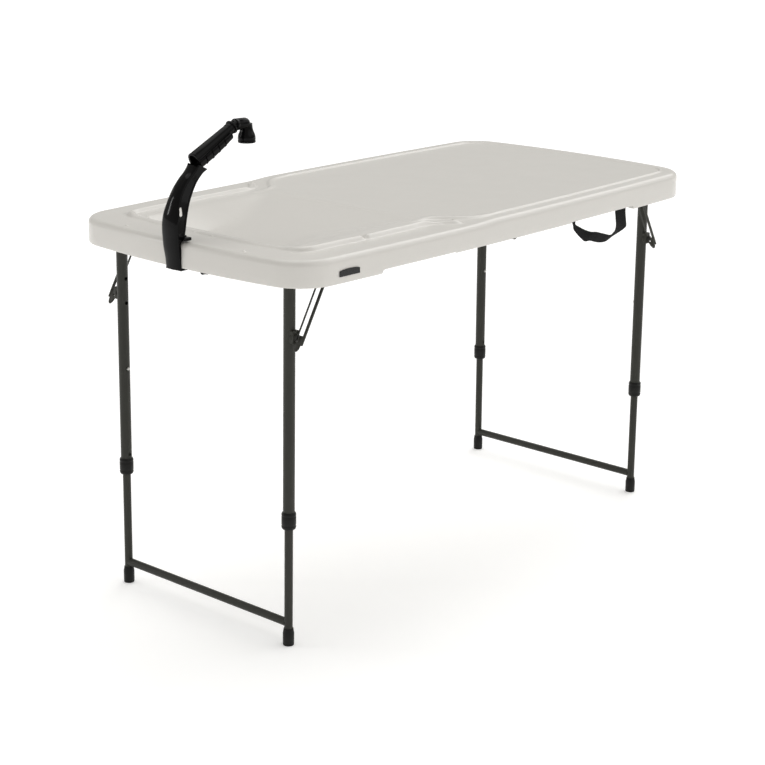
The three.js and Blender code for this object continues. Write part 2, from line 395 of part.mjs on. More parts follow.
arm = cut(arm, slab([[-643, 806.5], [-634.5, 806.5], [-634.5, 823.5], [-643, 823.5]], -30, 30), bar(at(-9), at(120), 14.6, 10.9, 24));
{ const parts = arm.decompose().sort((p, q) => q.volume() - p.volume()); arm = parts[0]; }
add('faucet_arm', arm, GLOSS);
const tube = turned([[10, 0], [13.9, 0], [13.9, 2], [10.7, 102], [10.6, 107.8], [13.2, 108.4], [13.4, 110], [13.2, 111.4], [12, 112], [6, 112], [6, 66], [10, 60], [10, 0]], AXP, AXD.toArray(), 16);
add('inlet_washer', turned([[6.4, 0], [9.6, 0], [9.6, 2.6], [6.4, 2.6], [6.4, 0]], at(55), AXD.toArray(), 12), RUBBER);
add('spray_tube', cut(tube, bar(at(50), at(125), 6.4, 6.4, 10)), GLOSS);
let head = join(bar(at(112.6), at(121), 8.2, 8.2, 12), bar(at(118.6), [-458, 0, 955], 11.1, 11.1, 14), solid(new THREE.SphereGeometry(11.2, 12, 8).translate(-457, 0, 954.6)),
  turned([[0, 0], [17, 0], [17, 9], [16.2, 14.5], [14.2, 19], [12.4, 24], [11.2, 30], [11.2, 36], [0, 36]], [-450.5, 0, 918.5], [0, 0, 1], 16));
head = cut(head, turned([[0, -1], [14.6, -1], [14.6, 6], [9, 12], [5.5, 36], [0, 36]], [-450.5, 0, 918.5], [0, 0, 1], 16));
add('spray_head', head, GLOSS);
let rose = turned([[0, 0], [14.2, 0], [14.2, 2.4], [0, 2.4]], [-450.5, 0, 920.6], [0, 0, 1], 16);
for (let i = 0; i < 6; i++) { const a = i * Math.PI / 3; rose = cut(rose, bar([-450.5 + 8 * Math.cos(a), 8 * Math.sin(a), 918], [-450.5 + 8 * Math.cos(a), 8 * Math.sin(a), 926], 1.2, 1.2, 5)); }
add('spray_rose', rose, BLACK);

// ---------------------------------------------------------------- badge plate, blank
{
  const xm = -505, y = WIDTH / 2 - BOW_Y * (xm / (LENGTH / 2)) ** 2;
  const slope = Math.atan(-2 * BOW_Y * xm / (LENGTH / 2) ** 2);
  const g = new THREE.Shape([[-25.3, -6.2], [25.3, -6.2], [26, -5.5], [25.4, 3.9], [24.8, 4.5], [13, 6.1], [0, 6.7], [-13, 6.1], [-24.8, 4.5], [-25.4, 3.9], [-26, -5.5]].map(([x, z]) => new THREE.Vector2(x, z)));
  const e = new THREE.ExtrudeGeometry(g, { depth: 1.4, bevelEnabled: false, curveSegments: 4 });
  e.rotateX(Math.PI / 2);
  const mesh = add('badge_plate', solid(e), BADGE);
  mesh.position.set(xm, -y - 0.5, 729.4);
  mesh.rotation.z = -slope * -1 * -1;
}

// ---------------------------------------------------------------- carry strap
const sy = STRAP_Y;
const loopShape = [[196, 713.8], [200, 704], [200, 693], [218, 678], [236, 661.5], [262, 661], [290, 651.5], [320, 648], [345, 651], [372, 657], [399, 667], [392, 678], [391, 713.8], [353, 713.8], [355.5, 671], [338, 660.5], [316, 666.5], [286, 675.5], [262, 679.5], [240, 688.5], [214, 701], [212, 713.8]];
add('carry_strap', slab(ccw(loopShape), sy - 1.4, sy + 1.4), WEB);
add('carry_strap_end_left', slab(ccw([[186, 715.8], [224, 715.8], [224, 732], [186, 732]]), sy - 1.4, sy + 1.4), WEB);
add('carry_strap_end_right', slab(ccw([[353, 715.8], [391, 715.8], [391, 732], [353, 732]]), sy - 1.4, sy + 1.4), WEB);
for (const [n, x] of [['left', 205], ['right', 372]]) {
  const p = slab(ccw([[x - 15, 719.5], [x + 15, 719.5], [x + 17, 721.5], [x + 17, 730], [x + 15, 732], [x - 15, 732], [x - 17, 730], [x - 17, 721.5]]), sy + 1.7, sy + 3.6);
  add(`strap_anchor_${n}`, join(p, ...[x - 8, x + 8].map(q => turned([[0, 0], [3.8, 0], [3.8, 1.3], [2.4, 2.3], [0, 2.3]], [q, sy + 3.3, 725.8], [0, 1, 0], 10))), STEEL);
}

export default table;
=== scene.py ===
import math

import bmesh
import bpy
import numpy as np
from mathutils import Matrix, Vector, geometry as mgeo


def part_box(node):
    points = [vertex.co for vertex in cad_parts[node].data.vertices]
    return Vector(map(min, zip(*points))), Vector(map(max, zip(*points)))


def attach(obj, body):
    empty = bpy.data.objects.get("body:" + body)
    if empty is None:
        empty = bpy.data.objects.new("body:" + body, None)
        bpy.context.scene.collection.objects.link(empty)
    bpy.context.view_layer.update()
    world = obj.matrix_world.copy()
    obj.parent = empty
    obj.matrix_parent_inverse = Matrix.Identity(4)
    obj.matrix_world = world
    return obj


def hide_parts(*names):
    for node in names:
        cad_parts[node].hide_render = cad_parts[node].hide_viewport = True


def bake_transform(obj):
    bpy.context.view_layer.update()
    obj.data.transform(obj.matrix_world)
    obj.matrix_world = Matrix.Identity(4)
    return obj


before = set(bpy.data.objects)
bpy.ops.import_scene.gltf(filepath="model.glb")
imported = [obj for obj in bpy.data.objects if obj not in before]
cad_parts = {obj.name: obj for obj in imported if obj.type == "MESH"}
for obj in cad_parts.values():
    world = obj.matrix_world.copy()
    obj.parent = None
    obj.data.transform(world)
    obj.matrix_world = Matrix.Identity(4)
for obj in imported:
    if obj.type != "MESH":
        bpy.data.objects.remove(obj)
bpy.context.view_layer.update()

# ------------------------------------------------------------------ frame of the numbers below
# Millimetres in the table's own frame: X 0 is the seam, +X the work end, -Y the strap side, Z 0 the floor.
MM = 0.001
SX = 7.0                      # table middle to box middle
HINGE_Z = 721.0
SPLAY = math.atan(7 / HINGE_Z)
LEG_Y = 226.8
HX = {"sink": -571.2, "work": 566.8}
DIR = {"sink": 1, "work": -1}
SIDES = {"front": -1, "back": 1}
LENGTH, WIDTH, BOW_X, BOW_Y = 1283.0, 642.998, 28.0, 15.8


def to_m(p):
    q = np.array(p, float).reshape(-1, 3).copy()
    q[:, 0] += SX
    return q * MM


# ------------------------------------------------------------------ materials
def socket(node, name, value):
    node.inputs[name].default_value = value


def new_mat(name):
    m = bpy.data.materials.new(name)
    m.use_nodes = True
    nt = m.node_tree
    bsdf = nt.nodes["Principled BSDF"]
    return m, nt, bsdf


def coords(nt, scale=(1, 1, 1), kind="Object"):
    tc = nt.nodes.new("ShaderNodeTexCoord")
    mp = nt.nodes.new("ShaderNodeMapping")
    mp.inputs["Scale"].default_value = scale
    nt.links.new(tc.outputs[kind], mp.inputs["Vector"])
    return mp.outputs["Vector"]


def noise(nt, vec, scale, detail=2.0, rough=0.5, distort=0.0):
    n = nt.nodes.new("ShaderNodeTexNoise")
    n.inputs["Scale"].default_value = scale
    n.inputs["Detail"].default_value = detail
    n.inputs["Roughness"].default_value = rough
    n.inputs["Distortion"].default_value = distort
    nt.links.new(vec, n.inputs["Vector"])
    return n.outputs["Fac"]


def voronoi(nt, vec, scale, feature="F1"):
    n = nt.nodes.new("ShaderNodeTexVoronoi")
    n.feature = feature
    n.inputs["Scale"].default_value = scale
    nt.links.new(vec, n.inputs["Vector"])
    return n.outputs["Distance"]


def ramp(nt, fac, stops):
    r = nt.nodes.new("ShaderNodeValToRGB")
    e = r.color_ramp.elements
    while len(e) < len(stops):
        e.new(0.5)
    for el, (pos, col) in zip(e, stops):
        el.position = pos
        el.color = (*col, 1) if len(col) == 3 else col
    nt.links.new(fac, r.inputs["Fac"])
    return r.outputs["Color"]


def maprange(nt, fac, a, b, c, d):
    r = nt.nodes.new("ShaderNodeMapRange")
    for i, v in enumerate((a, b, c, d)):
        r.inputs[1 + i].default_value = v
    nt.links.new(fac, r.inputs[0])
    return r.outputs[0]


def math_node(nt, op, a, b=None, bval=0.5):
    n = nt.nodes.new("ShaderNodeMath")
    n.operation = op
    nt.links.new(a, n.inputs[0])
    if b is not None:
        nt.links.new(b, n.inputs[1])
    else:
        n.inputs[1].default_value = bval
    return n.outputs[0]


def bump(nt, height, strength, distance, normal=None):
    b = nt.nodes.new("ShaderNodeBump")
    b.inputs["Strength"].default_value = strength
    b.inputs["Distance"].default_value = distance
    nt.links.new(height, b.inputs["Height"])
    if normal is not None:
        nt.links.new(normal, b.inputs["Normal"])
    return b.outputs["Normal"]


def shade(c, f):
    return tuple(min(1.0, v * f) for v in c)


def finish_mat(name, base, rough, rough_var=0.06, metallic=0.0, spec=0.5, var=0.05, blotch=9.0, grain=1500.0,
               grain_strength=0.25, grain_dist=0.00008, ripple=60.0, ripple_strength=0.1, ripple_dist=0.0004,
               coat=0.0, coat_rough=0.1, specks=0.0, scratches=0.0):
    """A moulded, painted or plated surface: broad and fine colour variation, uneven gloss, ripple and grain in the relief."""
    m, nt, b = new_mat(name)
    vec = coords(nt)
    n1 = noise(nt, vec, blotch, 4, 0.55)
    n2 = noise(nt, vec, blotch * 14, 3, 0.6)
    mixed = math_node(nt, "ADD", math_node(nt, "MULTIPLY", n1, bval=0.65), math_node(nt, "MULTIPLY", n2, bval=0.35))
    col = ramp(nt, mixed, [(0.3, shade(base, 1 - var)), (0.5, base), (0.7, shade(base, 1 + var))])
    if specks:
        sp = ramp(nt, noise(nt, vec, grain * 0.55, 1, 0.5), [(0.0, (1 - specks,) * 3), (0.34, (1 - specks * 0.25,) * 3), (0.5, (1, 1, 1))])
        mx = nt.nodes.new("ShaderNodeMix")
        mx.data_type = "RGBA"
        mx.blend_type = "MULTIPLY"
        mx.inputs[0].default_value = 1.0
        nt.links.new(col, mx.inputs[6])
        nt.links.new(sp, mx.inputs[7])
        col = mx.outputs[2]
    nt.links.new(col, b.inputs["Base Color"])
    nr = noise(nt, vec, blotch * 3.3, 5, 0.6)
    nt.links.new(maprange(nt, nr, 0.3, 0.7, rough - rough_var, rough + rough_var), b.inputs["Roughness"])
    socket(b, "Metallic", metallic)
    socket(b, "Specular IOR Level", spec)
    if coat:
        socket(b, "Coat Weight", coat)
        socket(b, "Coat Roughness", coat_rough)
    nrm = bump(nt, noise(nt, vec, ripple, 2, 0.5), ripple_strength, ripple_dist)
    if scratches:
        sv = coords(nt, (1.0, 60.0, 1.0))
        nrm = bump(nt, noise(nt, sv, 40, 4, 0.7, 0.3), scratches, 0.0001, nrm)
    g = math_node(nt, "ADD", noise(nt, vec, grain, 2, 0.6), voronoi(nt, vec, grain * 0.7))
    nrm = bump(nt, g, grain_strength, grain_dist, nrm)
    nt.links.new(nrm, b.inputs["Normal"])
    return m


PLASTIC = finish_mat("moulded_plastic", (0.655, 0.636, 0.602), 0.26, 0.012, spec=0.5, var=0.010, blotch=5.5, grain=1150,
                     grain_strength=0.07, grain_dist=0.00006, ripple=22, ripple_strength=0.03, ripple_dist=0.0008, specks=0.015)
LEG = finish_mat("powder_coat_olive", (0.030, 0.030, 0.0245), 0.38, 0.06, spec=0.24, var=0.09, blotch=16, grain=2600,
                 grain_strength=0.4, grain_dist=0.00007, ripple=240, ripple_strength=0.18, ripple_dist=0.00022)
BLACKSTEEL = finish_mat("black_coated_steel", (0.020, 0.020, 0.018), 0.36, 0.07, spec=0.25, var=0.12, blotch=22, grain=2400,
                        grain_strength=0.35, grain_dist=0.00006, ripple=300, ripple_strength=0.2, ripple_dist=0.0002)
ZINC = finish_mat("zinc_plate", (0.56, 0.55, 0.53), 0.30, 0.08, metallic=1.0, var=0.10, blotch=60, grain=3200,
                  grain_strength=0.2, grain_dist=0.00004, ripple=500, ripple_strength=0.2, ripple_dist=0.0001, scratches=0.3)
BLACKPL = finish_mat("satin_black_plastic", (0.0085, 0.0085, 0.0078), 0.36, 0.06, spec=0.18, var=0.12, blotch=26, grain=2300,
                     grain_strength=0.4, grain_dist=0.00007, ripple=160, ripple_strength=0.18, ripple_dist=0.0003)
GLOSS = finish_mat("glossy_black_plastic", (0.0030, 0.0030, 0.0032), 0.11, 0.03, spec=0.12, var=0.15, blotch=14, grain=1800,
                   grain_strength=0.05, grain_dist=0.00003, ripple=38, ripple_strength=0.2, ripple_dist=0.0007)
BADGE = finish_mat("dark_plate", (0.010, 0.010, 0.0105), 0.26, 0.05, spec=0.3, var=0.18, blotch=60, grain=2600,
                   grain_strength=0.16, grain_dist=0.00004, ripple=200, ripple_strength=0.15, ripple_dist=0.0002)
RUBBER = finish_mat("rubber", (0.022, 0.022, 0.021), 0.72, 0.06, spec=0.3, var=0.1, blotch=60, grain=1900,
                    grain_strength=0.5, grain_dist=0.00008, ripple=300, ripple_strength=0.2, ripple_dist=0.0002)


def webbing_mat():
    """Flat woven webbing: diagonal ribs across the width, with painted shade darkening the gaps between yarns and
    lighter rib tops, and a selvage at each edge.
    """
    m, nt, b = new_mat("webbing")
    uv = coords(nt, kind="UV")
    sep = nt.nodes.new("ShaderNodeSeparateXYZ")
    nt.links.new(uv, sep.inputs[0])
    u, v = sep.outputs[0], sep.outputs[1]          # u 0..1 across the width, v metres along
    tri = math_node(nt, "PINGPONG", math_node(nt, "MULTIPLY", u, bval=6.0), bval=1.0)
    ph = math_node(nt, "ADD", math_node(nt, "MULTIPLY", v, bval=420.0), math_node(nt, "MULTIPLY", tri, bval=2.2))
    rib = math_node(nt, "SINE", math_node(nt, "MULTIPLY", ph, bval=6.28318 / 2.2))
    yarn = math_node(nt, "SINE", math_node(nt, "MULTIPLY", u, bval=6.28318 * 24))
    h = math_node(nt, "ADD", math_node(nt, "MULTIPLY", rib, bval=0.7), math_node(nt, "MULTIPLY", yarn, bval=0.3))
    fuzz = noise(nt, coords(nt), 2600, 3, 0.7)
    hh = math_node(nt, "ADD", h, math_node(nt, "MULTIPLY", fuzz, bval=0.9))
    # the colour follows the weave's height: painted shade, darker in the gaps between yarns and lighter on the rib
    # tops, plus fuzz noise for random tone
    col = ramp(nt, maprange(nt, hh, -1.0, 1.9, 0.0, 1.0), [(0.0, (0.002, 0.002, 0.0022)), (0.55, (0.0070, 0.0070, 0.0073)), (1.0, (0.020, 0.020, 0.021))])
    nt.links.new(col, b.inputs["Base Color"])
    nt.links.new(maprange(nt, fuzz, 0.3, 0.7, 0.55, 0.8), b.inputs["Roughness"])
    socket(b, "Specular IOR Level", 0.09)
    socket(b, "Sheen Weight", 0.014)
    socket(b, "Sheen Roughness", 0.4)
    nt.links.new(bump(nt, hh, 0.6, 0.0002), b.inputs["Normal"])
    return m


WEB = webbing_mat()
THREAD = finish_mat("thread", (0.030, 0.030, 0.031), 0.6, 0.08, spec=0.4, var=0.2, blotch=300, grain=5000, grain_strength=0.5, grain_dist=0.00006)


# ------------------------------------------------------------------ mesh helpers, all in table millimetres
def frame_axes(d):
    d = np.array(d, float)
    d /= np.linalg.norm(d)
    ref = np.array([0.0, 1.0, 0.0]) if abs(d[1]) < 0.9 else np.array([1.0, 0.0, 0.0])
    e1 = np.cross(ref, d)
    e1 /= np.linalg.norm(e1)
    return d, e1, np.cross(d, e1)


def lathe(profile, a, d, seg=48, ring=False):
    """Turned piece: [[radius, height], ...] about the line from a along d. ring: the profile closes on itself."""
    d, e1, e2 = frame_axes(d)
    a = np.array(a, float)
    verts, rows = [], []
    for r, h in profile:
        if r < 1e-6:
            rows.append([len(verts)])
            verts.append(a + d * h)
        else:
            rows.append(list(range(len(verts), len(verts) + seg)))
            for i in range(seg):
                t = 2 * math.pi * i / seg
                verts.append(a + d * h + r * (math.cos(t) * e1 + math.sin(t) * e2))
    faces = []
    pairs = list(zip(rows, rows[1:])) + ([(rows[-1], rows[0])] if ring else [])
    for p, q in pairs:
        for i in range(seg):
            j = (i + 1) % seg
            if len(p) == 1 and len(q) == 1:
                continue
            if len(p) == 1:
                faces.append((p[0], q[j], q[i]))
            elif len(q) == 1:
                faces.append((p[i], p[j], q[0]))
            else:
                faces.append((p[i], p[j], q[j], q[i]))
    if not ring:
        if len(rows[0]) > 1:
            faces.append(tuple(reversed(rows[0])))
        if len(rows[-1]) > 1:
            faces.append(tuple(rows[-1]))
    return np.array(verts), faces


def rod(a, b, r0, r1=None, seg=40, soft=0.0):
    r1 = r0 if r1 is None else r1
    a, b = np.array(a, float), np.array(b, float)
    L = np.linalg.norm(b - a)
    if soft:
        prof = [(0, 0), (r0 - soft, 0), (r0 - 0.3 * soft, 0.3 * soft), (r0, soft), (r1, L - soft), (r1 - 0.3 * soft, L - 0.3 * soft), (r1 - soft, L), (0, L)]
    else:
        prof = [(0, 0), (r0, 0), (r1, L), (0, L)]
    return lathe(prof, a, b - a, seg)


def prism(points, c0, c1, plane="xz"):
    """Flat shape between two depths: 'xz' points between y c0 and c1, 'xy' points between z c0 and c1, 'yz' points between x c0 and c1."""
    n = len(points)
    put = {"xz": lambda p, c: (p[0], c, p[1]), "xy": lambda p, c: (p[0], p[1], c), "yz": lambda p, c: (c, p[0], p[1])}[plane]
    verts = [put(p, c0) for p in points] + [put(p, c1) for p in points]
    faces = [tuple(range(n)), tuple(reversed(range(n, 2 * n)))]
    faces += [(i, i + n, (i + 1) % n + n, (i + 1) % n) for i in range(n)]
    return np.array(verts, float), faces


def block(x0, x1, y0, y1, z0, z1):
    return prism([(x0, z0), (x1, z0), (x1, z1), (x0, z1)], y0, y1)


def merged(*meshes):
    V, F, k = [], [], 0
    for v, f in meshes:
        V.append(np.array(v, float))
        F += [tuple(i + k for i in face) for face in f]
        k += len(v)
    return np.vstack(V), F


def to_bm(mesh):
    bm = bmesh.new()
    vs = [bm.verts.new(p) for p in mesh[0]]
    for f in mesh[1]:
        try:
            bm.faces.new([vs[i] for i in f])
        except ValueError:
            pass
    bmesh.ops.recalc_face_normals(bm, faces=bm.faces[:])
    return bm


def from_bm(bm):
    bm.verts.index_update()
    v = np.array([x.co[:] for x in bm.verts], float)
    f = [tuple(x.index for x in face.verts) for face in bm.faces]
    bm.free()
    return v, f


def soften(mesh, width, seg=2, angle=28.0):
    """Rounds every edge sharper than angle."""
    bm = to_bm(mesh)
    lim = math.radians(angle)
    edges = [e for e in bm.edges if len(e.link_faces) == 2 and e.calc_face_angle(0.0) > lim]
    bmesh.ops.bevel(bm, geom=edges, offset=width, segments=seg, profile=0.5, affect="EDGES", clamp_overlap=True)
    return from_bm(bm)


def boolean(mesh, others, op="DIFFERENCE"):
    """Cuts others from mesh, or joins them to it."""
    made = []

    def temp(m):
        me = bpy.data.meshes.new("temp")
        bm = to_bm(m)
        bm.to_mesh(me)
        bm.free()
        o = bpy.data.objects.new("temp", me)
        bpy.context.scene.collection.objects.link(o)
        made.append(o)
        return o

    base = temp(mesh)
    for m in others:
        mod = base.modifiers.new("b", "BOOLEAN")
        mod.operation = op
        mod.solver = "EXACT"
        mod.object = temp(m)
    dg = bpy.context.evaluated_depsgraph_get()
    ev = base.evaluated_get(dg)
    me = ev.to_mesh()
    v = np.array([x.co[:] for x in me.vertices], float)
    f = [tuple(p.vertices) for p in me.polygons]
    ev.to_mesh_clear()
    for o in made:
        data = o.data
        bpy.data.objects.remove(o)
        bpy.data.meshes.remove(data)
    return v, f


def place(mesh, tag):
    """A mesh given in the leg's own lines (X from the leg hinge, Z from the hinge) put in its splayed place."""
    v = np.array(mesh[0], float)
    rot = DIR[tag] * SPLAY
    x, z = v[:, 0].copy(), v[:, 2].copy()
    v[:, 0] = HX[tag] + x * math.cos(rot) + z * math.sin(rot)
    v[:, 2] = HINGE_Z - x * math.sin(rot) + z * math.cos(rot)
    return v, mesh[1]


def show(name, mesh, material, body, rep=(), sharp=32.0, uv=None):
    v, f = mesh
    me = bpy.data.meshes.new(name)
    me.from_pydata([tuple(p) for p in to_m(v)], [], f)
    bm = bmesh.new()
    bm.from_mesh(me)
    bmesh.ops.remove_doubles(bm, verts=bm.verts[:], dist=2e-6)
    bmesh.ops.dissolve_degenerate(bm, dist=1e-6, edges=bm.edges[:])
    bmesh.ops.recalc_face_normals(bm, faces=bm.faces[:])
    bm.to_mesh(me)
    bm.free()
    me.shade_smooth()
    me.set_sharp_from_angle(angle=math.radians(sharp))
    me.materials.append(material)
    ob = bpy.data.objects.new(name, me)
    bpy.context.scene.collection.objects.link(ob)
    if body:
        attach(ob, body)
    if rep:
        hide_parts(*rep)
    return ob


def smooth(t):
    t = np.clip(t, 0.0, 1.0)
    return t * t * (3 - 2 * t)


def smin(a, b, k):
    h = np.clip(k - np.abs(a - b), 0, None) / k
    return np.minimum(a, b) - h * h * k * 0.25


def smax(a, b, k):
    h = np.clip(k - np.abs(a - b), 0, None) / k
    return np.maximum(a, b) + h * h * k * 0.25


def resample(pts, step, closed=False):
    """A smooth line through the points, sampled at about the given step."""
    p = np.array(pts, float)
    n = len(p)
    out = []
    for i in range(n if closed else n - 1):
        p1, p2 = p[i], p[(i + 1) % n]
        p0 = p[(i - 1) % n] if closed or i > 0 else 2 * p1 - p2
        p3 = p[(i + 2) % n] if closed or i + 2 < n else 2 * p2 - p1
        L = np.linalg.norm(p2 - p1)
        # centripetal tangents, so that uneven spacing makes no loops
        d01, d12, d23 = (max(np.linalg.norm(b - a), 1e-6) ** 0.5 for a, b in ((p0, p1), (p1, p2), (p2, p3)))
        m1 = (p2 - p1) + d12 * ((p1 - p0) / d01 - (p2 - p0) / (d01 + d12))
        m2 = (p2 - p1) + d12 * ((p3 - p2) / d23 - (p3 - p1) / (d12 + d23))
        k = max(2, int(math.ceil(L / step)))
        for j in range(k):
            t = j / k
            out.append((2 * t ** 3 - 3 * t * t + 1) * p1 + (t ** 3 - 2 * t * t + t) * m1 + (-2 * t ** 3 + 3 * t * t) * p2 + (t ** 3 - t * t) * m2)
    if not closed:
        out.append(p[-1])
    return np.array(out)


def line_distance(q, line):
    """Distance from each point to an open line, the length along the line of the nearest point, and the side (+ left)."""
    a, b = line[:-1], line[1:]
    d = b - a
    L = np.linalg.norm(d, axis=1)
    s0 = np.concatenate([[0], np.cumsum(L)[:-1]])
    best = np.full(len(q), 1e9)
    arc = np.zeros(len(q))
    side = np.zeros(len(q))
    for i in range(len(a)):
        w = q - a[i]
        t = np.clip((w @ d[i]) / (L[i] ** 2), 0, 1)
        r = w - t[:, None] * d[i]
        dist = np.hypot(r[:, 0], r[:, 1])
        better = dist < best
        best[better] = dist[better]
        arc[better] = (s0[i] + t * L[i])[better]
        side[better] = np.sign(d[i][0] * w[:, 1] - d[i][1] * w[:, 0])[better]
    return best, arc, side


# ------------------------------------------------------------------ tabletop
def quadrant():
    """The outline from the seam (x 0) round the back right corner to the middle of the right end, dense."""
    a, b = LENGTH / 2, WIDTH / 2
    y_long = lambda x: b - BOW_Y * (x / a) ** 2
    x_short = lambda y: a - BOW_X * (y / b) ** 2
    cx, cy = a - BOW_X, b - BOW_Y
    for _ in range(20):
        cy = y_long(cx)
        cx = x_short(cy)
    turn = math.radians(77.9)
    t, k = 84 * math.tan(turn / 2), 4 / 3 * math.tan(turn / 4) * 84
    x1 = cx - t
    y1, y2 = y_long(x1), cy - t
    x2 = x_short(y2)
    sl, ss = -2 * BOW_Y * x1 / a ** 2, -2 * BOW_X * y2 / b ** 2
    n1, n2 = math.hypot(1, sl), math.hypot(1, ss)
    P = np.array([[x1, y1], [x1 + k / n1, y1 + k * sl / n1], [x2 + k * ss / n2, y2 + k / n2], [x2, y2]])
    return y_long, x_short, x1, y2, P


def half_outline(extra):
    """Points and inward normals of the right half's edge from the front seam to the back seam. extra: x values that get a point."""
    y_long, x_short, x1, y2, P = quadrant()
    xs = set(np.round(np.linspace(0, x1, int(x1 / 9)), 3))
    xs |= {x for x in extra if 0 < x < x1}
    xs = np.array(sorted(xs))
    keep = [0.0]
    for x in xs[1:]:
        if x - keep[-1] < 0.8 and x not in extra:
            continue
        keep.append(float(x))
    pts = [(x, y_long(x), 0.0, 1.0) for x in keep]
    pts = [(x, y, 2 * BOW_Y * x / (LENGTH / 2) ** 2, 1.0) for x, y, _, _ in pts]
    for j in range(1, 30):
        t = j / 30
        p = (1 - t) ** 3 * P[0] + 3 * (1 - t) ** 2 * t * P[1] + 3 * (1 - t) * t * t * P[2] + t ** 3 * P[3]
        d = 3 * (1 - t) ** 2 * (P[1] - P[0]) + 6 * (1 - t) * t * (P[2] - P[1]) + 3 * t * t * (P[3] - P[2])
        pts.append((p[0], p[1], -d[1], d[0]))
    for y in np.linspace(y2, 0, 26):
        pts.append((x_short(y), y, 1.0, 2 * BOW_X * y / (WIDTH / 2) ** 2))
    q = np.array(pts)
    n = q[:, 2:] / np.linalg.norm(q[:, 2:], axis=1)[:, None]
    n = np.where((n[:, :1] < 0) | (n[:, 1:] < -1e-9), -n, n)
    upper = np.hstack([q[:, :2], -n])
    lower = upper[:-1].copy()
    lower[:, 1] *= -1
    lower[:, 3] *= -1
    return np.vstack([lower, upper[::-1]])


RIDGE = [(-150, 294), (-157, 283), (-168, 268), (-180, 255), (-197, 246), (-226, 242.5), (-259, 243.5), (-300, 243), (-373, 242.5), (-450, 238.5),
         (-502, 237), (-527, 235), (-542, 228), (-549, 214), (-550.5, 196), (-551.5, 178), (-556, 152), (-558.5, 120), (-559.5, 60), (-560, 0)]
SWOOP = [(-64, 285), (-91, 281), (-110, 271), (-125, 258), (-139, 243), (-152, 228), (-171, 216), (-199, 211), (-231, 210)]
ridge_line = resample(RIDGE + [(x, -y) for x, y in RIDGE[-2::-1]], 3.0)
ridge_arc = np.concatenate([[0], np.cumsum(np.linalg.norm(np.diff(ridge_line, axis=0), axis=1))])


def interp(x, pts):
    p = sorted(pts)
    return np.interp(x, [a for a, _ in p], [b for _, b in p])


def outline_inset(inset, n=400):
    """The right half's outline moved in, as a line from the front seam to the back seam."""
    h = half_outline([])
    return h[:, :2] + h[:, 2:] * inset


def bead_path():
    """The raised bead: from the swoop's end at the back, round the right end, to the swoop's end at the front (y positive first)."""
    edge = outline_inset(36.5)[::-1]
    edge = edge[edge[:, 0] > -64]
    left = [(x, y) for x, y in SWOOP[::-1]]
    between = [(x, 285.0) for x in (-48, -30, -12)]
    mid = [tuple(p) for p in edge[::3]]
    line = left + between + mid + [(x, -y) for x, y in between[::-1]] + [(x, -y) for x, y in SWOOP]
    return resample(line, 4.0)


bead_line = bead_path()
bead_arc = np.concatenate([[0], np.cumsum(np.linalg.norm(np.diff(bead_line, axis=0), axis=1))])
FLOOR0 = 720.0


def floor_z(x):
    return FLOOR0 + 0.1215 * (x + 540)


def basin_z(x, y, grow=0.0):
    """The sink basin's surface; grow moves its left wall out, for the outside of the tub."""
    ay = np.abs(y)
    yv = np.where(x < -376, 93.0, 93.0 + 0.603 * (x + 376))
    yt = interp(x, [(-560, 196), (-515, 200), (-410, 200.6), (-306, 195.4), (-192, 190.8), (-170, 190)])
    f = floor_z(x)
    side = f + (762.0 - f) * (ay - yv) / np.maximum(yt - yv, 14.0)
    left = 720.0 + (-541.0 - grow - x) * 6.5
    z = smax(f, side, 5.0)
    corner = 720.0 + ((-541.0 - grow - x) * 0.80 + (ay - 150) * 0.60) * 2.2
    z = smax(smax(z, left, 9.0), corner, 9.0)
    r = np.hypot(x + 524, y)
    return z * smooth((r - 18.4) / 2.4) + np.minimum(z, 720.0) * (1 - smooth((r - 18.4) / 2.4))


